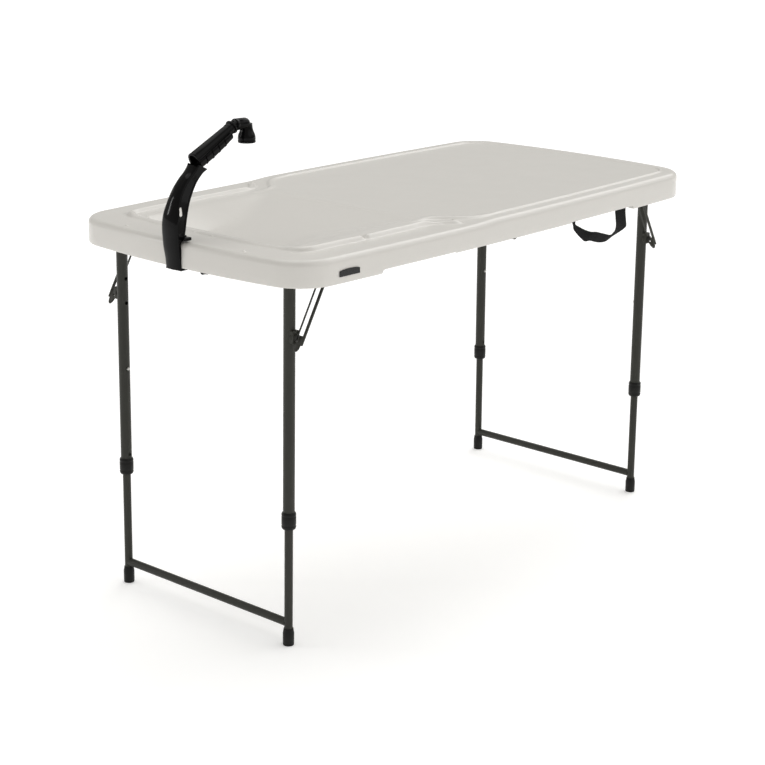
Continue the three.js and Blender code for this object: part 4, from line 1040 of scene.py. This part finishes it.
# ------------------------------------------------------------------ faucet
AX = np.array([-588.0, 0.0, 902.0])
AD = np.array([94.0, 0.0, 47.8])
AD /= np.linalg.norm(AD)
at = lambda t: AX + AD * t
ARM = np.array([[-645.6, 706.6, -641.9, 706.6, 20], [-647.6, 725, -641.9, 725, 19.6], [-650.8, 745, -641.9, 745, 20.4], [-651.8, 757, -641.9, 757.2, 20.8],
                [-652.3, 765, -634.8, 764.6, 21], [-652.9, 780, -630.7, 779, 21.4], [-652.4, 795, -627.8, 793, 21], [-649.8, 810, -623.9, 806.5, 19.9],
                [-644.8, 825, -618.6, 819.5, 17.8], [-638.6, 840, -612, 833, 15.8], [-629, 855.5, -604.5, 846, 14.6], [-615.6, 870.5, -596.5, 858.5, 14],
                [-604, 880, -588.5, 868.5, 14], [-595.5, 888.5, -578, 878.5, 14.6], [-590, 896, -567, 884.5, 15.2]])


def arm_at(u):
    """Outer x, z, inner x, z and half width of the arm at station u, smoothly between the listed ones."""
    n = len(ARM)
    i = int(min(max(math.floor(u), 0), n - 2))
    t = u - i
    p1, p2 = ARM[i], ARM[i + 1]
    p0 = ARM[i - 1] if i > 0 else 2 * p1 - p2
    p3 = ARM[i + 2] if i + 2 < n else 2 * p2 - p1
    m1, m2 = (p2 - p0) / 2, (p3 - p1) / 2
    return (2 * t ** 3 - 3 * t * t + 1) * p1 + (t ** 3 - 2 * t * t + t) * m1 + (-2 * t ** 3 + 3 * t * t) * p2 + (t ** 3 - t * t) * m2


def loft(rows):
    n = len(rows[0])
    verts = np.vstack(rows)
    faces = [tuple(range(n)), tuple(reversed(range((len(rows) - 1) * n, len(rows) * n)))]
    for i in range(len(rows) - 1):
        for j in range(n):
            a, b = i * n + j, i * n + (j + 1) % n
            faces.append((a, a + n, b + n, b))
    return verts, faces


def arm_row(u):
    """The arm's section: crowned outer face, rounded edges, each side wall sunk a little between a rim at each edge."""
    xo, zo, xi, zi, w = arm_at(u)
    L = math.hypot(xi - xo, zi - zo)
    ex, ez = (xi - xo) / L, (zi - zo) / L
    deep = 1.3 * float(smooth((u - 4.2) / 0.8)) * float(smooth((12.2 - u) / 1.0))
    half = [(0, -2.59), (w * 0.25, -2.45), (w * 0.48, -2.0), (w - 7, -1.35), (w - 3.6, -0.55), (w - 1.9, 0.35), (w - 0.8, 1.5), (w - 0.2, 2.8), (w, 4.2)]
    if L > 9:
        half += [(w, 5.0), (w - deep * 0.5, 5.5), (w - deep, 6.0), (w - deep, L * 0.5), (w - deep, L - 4.4), (w - deep * 0.5, L - 3.9), (w, L - 3.4), (w, L - 1.2), (w - 0.4, L - 0.4), (w - 1.2, L)]
    else:
        r = max(L - 0.2, 3.0)
        half = [(y, min(a, r)) for y, a in half]
        half += [(w, r + 0.02 * k) for k in range(1, 8)] + [(w, L + 0.15), (w - 0.02, L + 0.17), (w - 0.05, L + 0.2)]
        half = [(y, min(a, L)) if k > 8 else (y, a) for k, (y, a) in enumerate(half)]
    full = half[::-1] + [(-y, a) for y, a in half[1:]]
    return np.array([(xo + ex * a, y, zo + ez * a) for y, a in full])


def hollow_row(u):
    xo, zo, xi, zi, w = arm_at(u)
    L = math.hypot(xi - xo, zi - zo)
    ex, ez = (xi - xo) / L, (zi - zo) / L
    shape = [(w - 3.4, L + 4), (w - 3.4, 4.4), (w - 4.0, 3.0), (w - 8, 1.8), (-w + 8, 1.8), (-w + 4.0, 3.0), (-w + 3.4, 4.4), (-w + 3.4, L + 4)]
    return np.array([(xo + ex * a, y, zo + ez * a) for y, a in shape])


def trough_row(t, h):
    half = [(0, h), (7, h), (10.5, h - 0.5), (12.9, h - 1.8), (14.5, h - 3.7), (15.4, h - 6), (15.4, h * 0.5 + 0.3), (15.4, 1.2), (15.15, 0.7), (14.6, 0.5)]
    full = half[::-1] + [(-y, d) for y, d in half[1:]]
    p = at(t)
    return np.array([(p[0] + AD[2] * d, y, p[2] - AD[0] * d) for y, d in full])


cone = lathe([(0, -9), (14.85, -9), (14.1, 2), (10.9, 120), (0, 120)], AX, AD, 72)
slot_cut = soften(prism([(-643, 806.5), (-634.5, 806.5), (-634.5, 823.5), (-643, 823.5)], -30, 30), 3.2, 4, 40)
arm = loft([arm_row(u) for u in np.linspace(0, len(ARM) - 1, 85)])
arm = boolean(arm, [loft([hollow_row(u) for u in np.linspace(4.75, 11, 32)])])
arm = boolean(arm, [slot_cut])
arm = boolean(arm, [cone])
tr_t = [1, 1.6, 3, 8, 16, 24, 31, 38, 46, 54, 61, 68, 76, 84, 90, 93.2, 94]
tr_h = [interp(t, [(1, 17.6), (8, 18), (38, 18.4), (68, 16.9), (94, 14.1)]) for t in tr_t]
trough = loft([trough_row(t, float(h) - (0.6 if t in (1, 94) else 0)) for t, h in zip(tr_t, tr_h)])
trough = boolean(trough, [cone])
ribs = []
for t in (18, 36, 54, 72):          # low ribs across the trough's underside
    h = float(interp(t, [(1, 17.6), (8, 18), (38, 18.4), (68, 16.9), (94, 14.1)]))
    ribs.append(boolean(loft([trough_row(q, h + 0.9) for q in (t - 1.1, t - 0.7, t + 0.7, t + 1.1)]), [cone]))
hook = soften(prism([(-645.0, 707.6), (-644.8, 706.4), (-643.6, 705.2), (-616, 705.2), (-613.5, 706.6), (-613.5, 709.4), (-618, 709.4), (-643, 709.4)], -20, 20), 0.8, 3, 30)
sill = soften(block(-646, -627, -19.8, 19.8, 763.6, 771), 1.4, 3)
show("faucet_arm_fine", arm, GLOSS, "sink_half", ["faucet_arm"], 33)
show("faucet_trough", trough, GLOSS, "sink_half", sharp=33)
for i, m in enumerate(ribs):
    show(f"faucet_trough_rib_{i}", m, GLOSS, "sink_half", sharp=33)
show("faucet_hook", hook, GLOSS, "sink_half", sharp=33)
show("faucet_sill", sill, GLOSS, "sink_half", sharp=33)
for tag, s in (("front", -1), ("back", 1)):      # the small foot on each side that rests on the shelf
    foot = prism([(-641, 762.7), (-627.4, 762.7), (-626.0, 763.6), (-626.0, 768.6), (-641, 768.6)], min(s * 17, s * 31.4), max(s * 17, s * 31.4))
    show(f"faucet_foot_{tag}", soften(foot, 1.0, 3, 30), GLOSS, "sink_half", sharp=33)

tubep = [(10.2, 0.0), (12.9, 0.0), (13.6, 0.3), (13.9, 1.0), (13.9, 4.0), (13.5, 4.6), (13.5, 5.6), (13.7, 6.2), (12.9, 34), (12.0, 64), (11.2, 90), (10.9, 99.4), (11.5, 100.0), (11.5, 102.0), (10.85, 102.6),
         (10.7, 107.6), (12.2, 107.9), (13.1, 108.4), (13.4, 109.2), (13.4, 110.4), (13.1, 111.2), (12.2, 111.8), (10.5, 112.0), (6.4, 112.0), (6.4, 60), (10.0, 57.8), (10.0, 40), (9.55, 39.2), (10.0, 38.4),
         (10.0, 30), (9.55, 29.2), (10.0, 28.4), (10.0, 20), (9.55, 19.2), (10.0, 18.4), (10.0, 1.0)]
show("spray_tube_fine", lathe(tubep, AX, AD, 72, ring=True), GLOSS, "sink_half", ["spray_tube"], 33)
show("inlet_washer_fine", lathe([(6.4, 0.4), (6.8, 0), (9.2, 0), (9.6, 0.4), (9.6, 2.2), (9.2, 2.6), (6.8, 2.6), (6.4, 2.2)], at(55), AD, 48, ring=True), RUBBER, "sink_half", ["inlet_washer"])

# spray head: a short swivel neck, an elbow and a bell
ball = lathe([(0, -11.2)] + [(11.18 * math.cos(a), 11.18 * math.sin(a)) for a in np.linspace(-math.pi / 2, math.pi / 2, 25)[1:-1]] + [(0, 11.2)], (-456.4, 0, 954.9), (0, 0, 1), 56)
body_d = np.array([-456.4, 0, 954.9]) - at(118.6)
body_l = float(np.linalg.norm(body_d))
elbow = lathe([(0, 0), (10.2, 0), (10.9, 0.5), (11.12, 1.4), (11.12, 4.2), (10.7, 4.8), (10.7, 6.4), (11.12, 7.0), (11.18, body_l), (0, body_l)], at(118.6), body_d, 56)
bell = lathe([(0, 0.6), (14.7, 0.6), (14.9, 0.2), (15.5, 0), (16.4, 0.1), (16.9, 0.6), (17.0, 1.4), (17.0, 4.6), (16.75, 5.1), (16.75, 6.1), (17.0, 6.6), (17.0, 9.4), (16.8, 11.6), (16.2, 14.5), (15.3, 17.0), (14.1, 19.4),
              (12.9, 22.4), (12.0, 25.6), (11.5, 29), (11.2, 33), (11.2, 36.3), (0, 36.3)], (-450.5, 0, 918.5), (0, 0, 1), 72)
elbow = boolean(elbow, [ball], "UNION")
elbow = boolean(elbow, [bell], "UNION")
elbow = boolean(elbow, [lathe([(0, -1), (14.6, -1), (14.6, 6), (9, 12), (5.5, 30), (0, 30)], (-450.5, 0, 918.5), (0, 0, 1), 48)])
show("spray_head_fine", elbow, GLOSS, "spray_head", ["spray_head"], 38)
neck = lathe([(0, 0), (7.6, 0), (8.2, 0.5), (8.2, 1.2), (9.3, 1.6), (9.6, 2.2), (9.3, 2.9), (8.2, 3.3), (8.2, 4.2), (9.3, 4.6), (9.6, 5.2), (9.3, 5.9), (8.4, 6.3), (8.4, 12), (0, 12)], at(112.6), AD, 56)
show("spray_head_neck", neck, GLOSS, "spray_head", sharp=33)
rose = lathe([(0, 2.4), (14.0, 2.4), (14.2, 2.2), (14.2, 0.6), (13.6, 0.2), (12.2, 0.0), (0, 0)], (-450.5, 0, 920.6), (0, 0, 1), 56)
jets = [rod((-450.5 + r * math.cos(t), r * math.sin(t), 919), (-450.5 + r * math.cos(t), r * math.sin(t), 922.2), 0.75, seg=10) for r, m in ((3.4, 6), (7.0, 12), (10.6, 16)) for t in np.linspace(0, 2 * math.pi, m + 1)[:-1]]
show("spray_rose_fine", boolean(rose, [merged(*jets)]), BLACKPL, "spray_head", ["spray_rose"], 30)

# ------------------------------------------------------------------ blank badge plate
bx = -505.0
by = WIDTH / 2 - BOW_Y * (bx / (LENGTH / 2)) ** 2
slope = -2 * BOW_Y * bx / (LENGTH / 2) ** 2


def stadium(w, h, r, n=8):
    out = []
    for cx, cy, a in ((w - r, -h + r, -90), (w - r, h - r, 0), (-w + r, h - r, 90), (-w + r, -h + r, 180)):
        out += [(cx + r * math.cos(math.radians(a + 90 * k / n)), cy + r * math.sin(math.radians(a + 90 * k / n))) for k in range(n + 1)]
    return out


def badge_shape(k):
    """Low plate with an arched top edge, moved in by k."""
    top = [(x, 6.7 - 2.2 * abs(x / 24.8) ** 2.2) for x in np.linspace(24.8, -24.8, 17)]
    pts = [(-25.3, -6.2), (25.3, -6.2), (25.8, -6.0), (26, -5.5), (25.5, 3.8), (25.3, 4.3)] + top + [(-25.3, 4.3), (-25.5, 3.8), (-26, -5.5), (-25.8, -6.0)]
    return [(x * (1 - k / 26.0), z * (1 - k / 6.45) + 0.0) for x, z in pts]


plate = soften(prism(badge_shape(0.0), 0.0, 1.4), 0.3, 2, 50)
rim = boolean(plate, [soften(prism(badge_shape(1.0), -1.0, 0.35), 0.12, 1, 50)])
v = rim[0].copy()
# depth 0 is the outer face; the plate is turned to follow the skirt
ang = math.atan(slope)
x, dpt = v[:, 0].copy(), v[:, 1].copy() - 1.9
v[:, 0] = bx + x * math.cos(ang) + dpt * math.sin(ang) * 1.0
v[:, 1] = -by + (-x * math.sin(ang)) + dpt * math.cos(ang)
v[:, 2] += 729.4
lo_b, hi_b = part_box("badge_plate")
show("badge_plate_fine", (v, rim[1]), BADGE, "sink_half", ["badge_plate"], 30)

# ------------------------------------------------------------------ carry strap
# Flat webbing about 38 mm wide: gathered at the left anchor, folded over at the bottom left and at the right.
STRAP_Y = -297.6
EDGES = [  # (one edge, other edge): X, Y from the strap plane, Z
    ((186.5, 0, 731), (223.5, 0, 731)),
    ((187.5, 0, 724), (222.5, 0, 724)),
    ((192, 0.5, 718), (217, 0.5, 718)),
    ((196.5, 1.0, 713.5), (211.5, 1.5, 713.2)),
    ((199.0, 1.0, 708.0), (210.5, 2.5, 706.5)),
    ((201.0, 0.0, 701.5), (214.0, 4.0, 701.0)),
    ((200.8, -2.0, 694.0), (224.5, 4.5, 695.8)),
    ((205.5, -4.0, 687.5), (236.5, 3.0, 689.5)),
    ((214.5, -5.0, 679.0), (248.5, 0.5, 684.0)),
    ((225.5, -5.5, 670.5), (259.0, -2.5, 680.3)),
    ((237.5, -5.5, 663.2), (269.0, -4.5, 678.6)),
    ((254.0, -5.0, 662.0), (279.0, -5.0, 677.0)),
    ((270.0, -4.0, 657.5), (289.5, -5.0, 674.0)),
    ((286.5, -3.0, 652.9), (302.0, -4.0, 670.3)),
    ((304.5, -2.0, 650.0), (315.0, -3.0, 666.6)),
    ((322.0, -0.5, 649.6), (327.0, -2.5, 663.0)),
    ((338.0, 1.5, 652.6), (338.0, -2.0, 660.6)),
    ((352.0, 3.0, 655.6), (346.5, -2.0, 664.0)),
    ((370.0, 3.0, 659.4), (353.0, -2.5, 669.5)),
    ((389.0, 2.0, 664.8), (355.0, -2.5, 680.0)),
    ((396.5, 0.0, 671.0), (354.6, -1.5, 690.0)),
    ((393.2, -1.0, 684.0), (354.0, -0.8, 699.0)),
    ((391.5, 0, 700.0), (353.4, 0, 706.0)),
    ((390.8, 0, 712.0), (353.2, 0, 712.5)),
    ((390.6, 0, 722.0), (353.3, 0, 722.0)),
    ((390.5, 0, 731.0), (353.5, 0, 731.0)),
]


def ribbon(edges, thick, across=12, step=4.0, crown=0.0):
    A = resample([p[0] for p in edges], step)
    B0 = resample([p[1] for p in edges], step)
    # both edges are read at the same section numbers
    def by_section(k):
        pts = [np.array(p[k], float) for p in edges]
        out = []
        n = len(pts)
        for i in range(n - 1):
            p1, p2 = pts[i], pts[i + 1]
            p0 = pts[i - 1] if i else 2 * p1 - p2
            p3 = pts[i + 2] if i + 2 < n else 2 * p2 - p1
            for j in range(4):
                t = j / 4
                m1, m2 = (p2 - p0) / 2, (p3 - p1) / 2
                out.append((2 * t ** 3 - 3 * t * t + 1) * p1 + (t ** 3 - 2 * t * t + t) * m1 + (-2 * t ** 3 + 3 * t * t) * p2 + (t ** 3 - t * t) * m2)
        out.append(pts[-1])
        return np.array(out)
    A, B = by_section(0), by_section(1)
    n = len(A)
    mid = (A + B) / 2
    run = np.gradient(mid, axis=0)
    run /= np.linalg.norm(run, axis=1)[:, None]
    wide = B - A
    nrm = np.cross(run, wide)
    nrm /= np.linalg.norm(nrm, axis=1)[:, None]
    nrm[nrm[:, 1] > 0] *= -1
    arc = np.concatenate([[0], np.cumsum(np.linalg.norm(np.diff(mid, axis=0), axis=1))])
    verts, uv = [], []
    m = across + 1
    for face in (0, 1):
        for i in range(n):
            for j in range(m):
                u = j / across
                edge = min(u, 1 - u)
                t = thick / 2 * (1.0 if edge > 0.04 else 0.8)
                bow = crown * math.sin(math.pi * u)
                p = A[i] * (1 - u) + B[i] * u + nrm[i] * ((t if face == 0 else -t) + bow)
                verts.append((p[0], p[1] + STRAP_Y, p[2]))
                uv.append((u, arc[i] * MM))
    faces = []
    N = n * m
    for i in range(n - 1):
        for j in range(across):
            a, b, c, d = i * m + j, i * m + j + 1, (i + 1) * m + j + 1, (i + 1) * m + j
            faces.append((a, b, c, d))
            faces.append((N + d, N + c, N + b, N + a))
    for i in range(n - 1):
        a, b = i * m, (i + 1) * m
        faces.append((a, b, N + b, N + a))
        a, b = i * m + across, (i + 1) * m + across
        faces.append((b, a, N + a, N + b))
    for j in range(across):
        faces.append((j + 1, j, N + j, N + j + 1))
        k = (n - 1) * m
        faces.append((k + j, k + j + 1, N + k + j + 1, N + k + j))
    return np.array(verts), faces, uv, (A, B, nrm)


def show_ribbon(name, edges, thick, body, rep, crown=0.0):
    v, f, uv, info = ribbon(edges, thick, crown=crown)
    me = bpy.data.meshes.new(name)
    me.from_pydata([tuple(p) for p in to_m(v)], [], f)
    layer = me.uv_layers.new(name="UVMap")
    for poly in me.polygons:
        for li in poly.loop_indices:
            layer.data[li].uv = uv[me.loops[li].vertex_index]
    bm = bmesh.new()
    bm.from_mesh(me)
    bmesh.ops.recalc_face_normals(bm, faces=bm.faces[:])
    bm.to_mesh(me)
    bm.free()
    me.shade_smooth()
    me.set_sharp_from_angle(angle=math.radians(50))
    me.materials.append(WEB)
    ob = bpy.data.objects.new(name, me)
    bpy.context.scene.collection.objects.link(ob)
    return ob, info


strap, strap_info = show_ribbon("webbing_strap", EDGES, 1.9, None, ())
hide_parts("carry_strap", "carry_strap_end_left", "carry_strap_end_right")
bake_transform(strap)

for name, x in (("left", 205.0), ("right", 372.0)):
    y0 = STRAP_Y + 1.7
    shape = stadium(17, 6.25, 2.5)
    p = soften(prism([(x + a, 725.75 + b) for a, b in shape], y0, y0 + 1.9), 0.5, 2, 40)
    show(f"anchor_plate_{name}", p, BLACKSTEEL, "work_half", [f"strap_anchor_{name}"], 30)
    for i, q in enumerate((x - 8, x + 8)):
        show(f"anchor_screw_{name}_{i}", screw(q, y0 + 1.85, 725.8, (0, 1, 0), 3.6, 2.0), ZINC, "work_half")

# ------------------------------------------------------------------ floor, light, camera
bpy.ops.mesh.primitive_plane_add(size=80, location=(10.0, 10.0, -0.0006))
floor = bpy.context.object
floor.name = "studio_floor"
fm, fnt, fb = new_mat("studio_floor")
socket(fb, "Base Color", (0.90, 0.90, 0.90, 1))
socket(fb, "Roughness", 0.8)
socket(fb, "Specular IOR Level", 0.1)
socket(fb, "Emission Color", (1.0, 1.0, 1.0, 1))
socket(fb, "Emission Strength", 0.27)
floor.data.materials.append(fm)

world = bpy.data.worlds.new("studio")
bpy.context.scene.world = world
world.use_nodes = True
bg = world.node_tree.nodes["Background"]
bg.inputs[0].default_value = (1.0, 0.988, 0.95, 1)
bg.inputs[1].default_value = 0.46


def sun(name, toward, power, angle):
    """A soft light from far away, so the studio is lit evenly. toward: from the table to the light."""
    d = bpy.data.lights.new(name, "SUN")
    d.energy = power
    d.angle = math.radians(angle)
    o = bpy.data.objects.new(name, d)
    bpy.context.scene.collection.objects.link(o)
    o.location = Vector(toward) * 4
    o.rotation_mode = "QUATERNION"
    o.rotation_quaternion = (-Vector(toward)).to_track_quat("-Z", "Y")
    return o


def area(name, loc, target, size, power, size_y=None):
    d = bpy.data.lights.new(name, "AREA")
    d.shape = "RECTANGLE"
    d.size, d.size_y = size, size_y or size
    d.energy = power
    o = bpy.data.objects.new(name, d)
    bpy.context.scene.collection.objects.link(o)
    o.location = loc
    o.rotation_mode = "QUATERNION"
    o.rotation_quaternion = (Vector(target) - Vector(loc)).to_track_quat("-Z", "Y")
    return o


sun("front_key", (0.12, -0.80, 0.58), 0.36, 50)
sun("top_soft", (0.12, 0.28, 0.95), 0.80, 50)
sun("right_strip", (0.743, 0.139, 0.654), 0.07, 18)
sun("right_soft", (0.715, 0.150, 0.690), 0.62, 40)
sun("right_front", (0.720, -0.400, 0.570), 0.46, 44)
area("left_strip", (-3.3, 3.3, 2.05), (-0.64, 0, 0.83), 0.16, 16.5, 1.5)

yaw, pitch, roll = math.radians(41.31238), math.radians(16.84892), math.radians(0.52681)
dv = Vector((math.cos(yaw) * math.cos(pitch), math.sin(yaw) * math.cos(pitch), -math.sin(pitch)))
rv = Vector((math.sin(yaw), -math.cos(yaw), 0))
uv_ = rv.cross(dv)
R = rv * math.cos(roll) + uv_ * math.sin(roll)
U = -rv * math.sin(roll) + uv_ * math.cos(roll)
cam_data = bpy.data.cameras.new("camera")
cam = bpy.data.objects.new("camera", cam_data)
bpy.context.scene.collection.objects.link(cam)
cam_data.sensor_width = 36.0
cam_data.lens = 1879.594 / 765 * 36.0
cam_data.shift_x = (765 / 2 - 372.611) / 765
cam_data.shift_y = (381.502 - 765 / 2) / 765
cam_data.clip_start, cam_data.clip_end = 0.05, 100
cam.matrix_world = Matrix((
    (R.x, U.x, -dv.x, -2.93031),
    (R.y, U.y, -dv.y, -2.50721),
    (R.z, U.z, -dv.z, 1.51633),
    (0, 0, 0, 1)))
bpy.context.scene.camera = cam
vs = bpy.context.scene.view_settings
vs.view_transform = "Standard"
vs.look = "None"
vs.exposure = 0.0
vs.gamma = 1.0
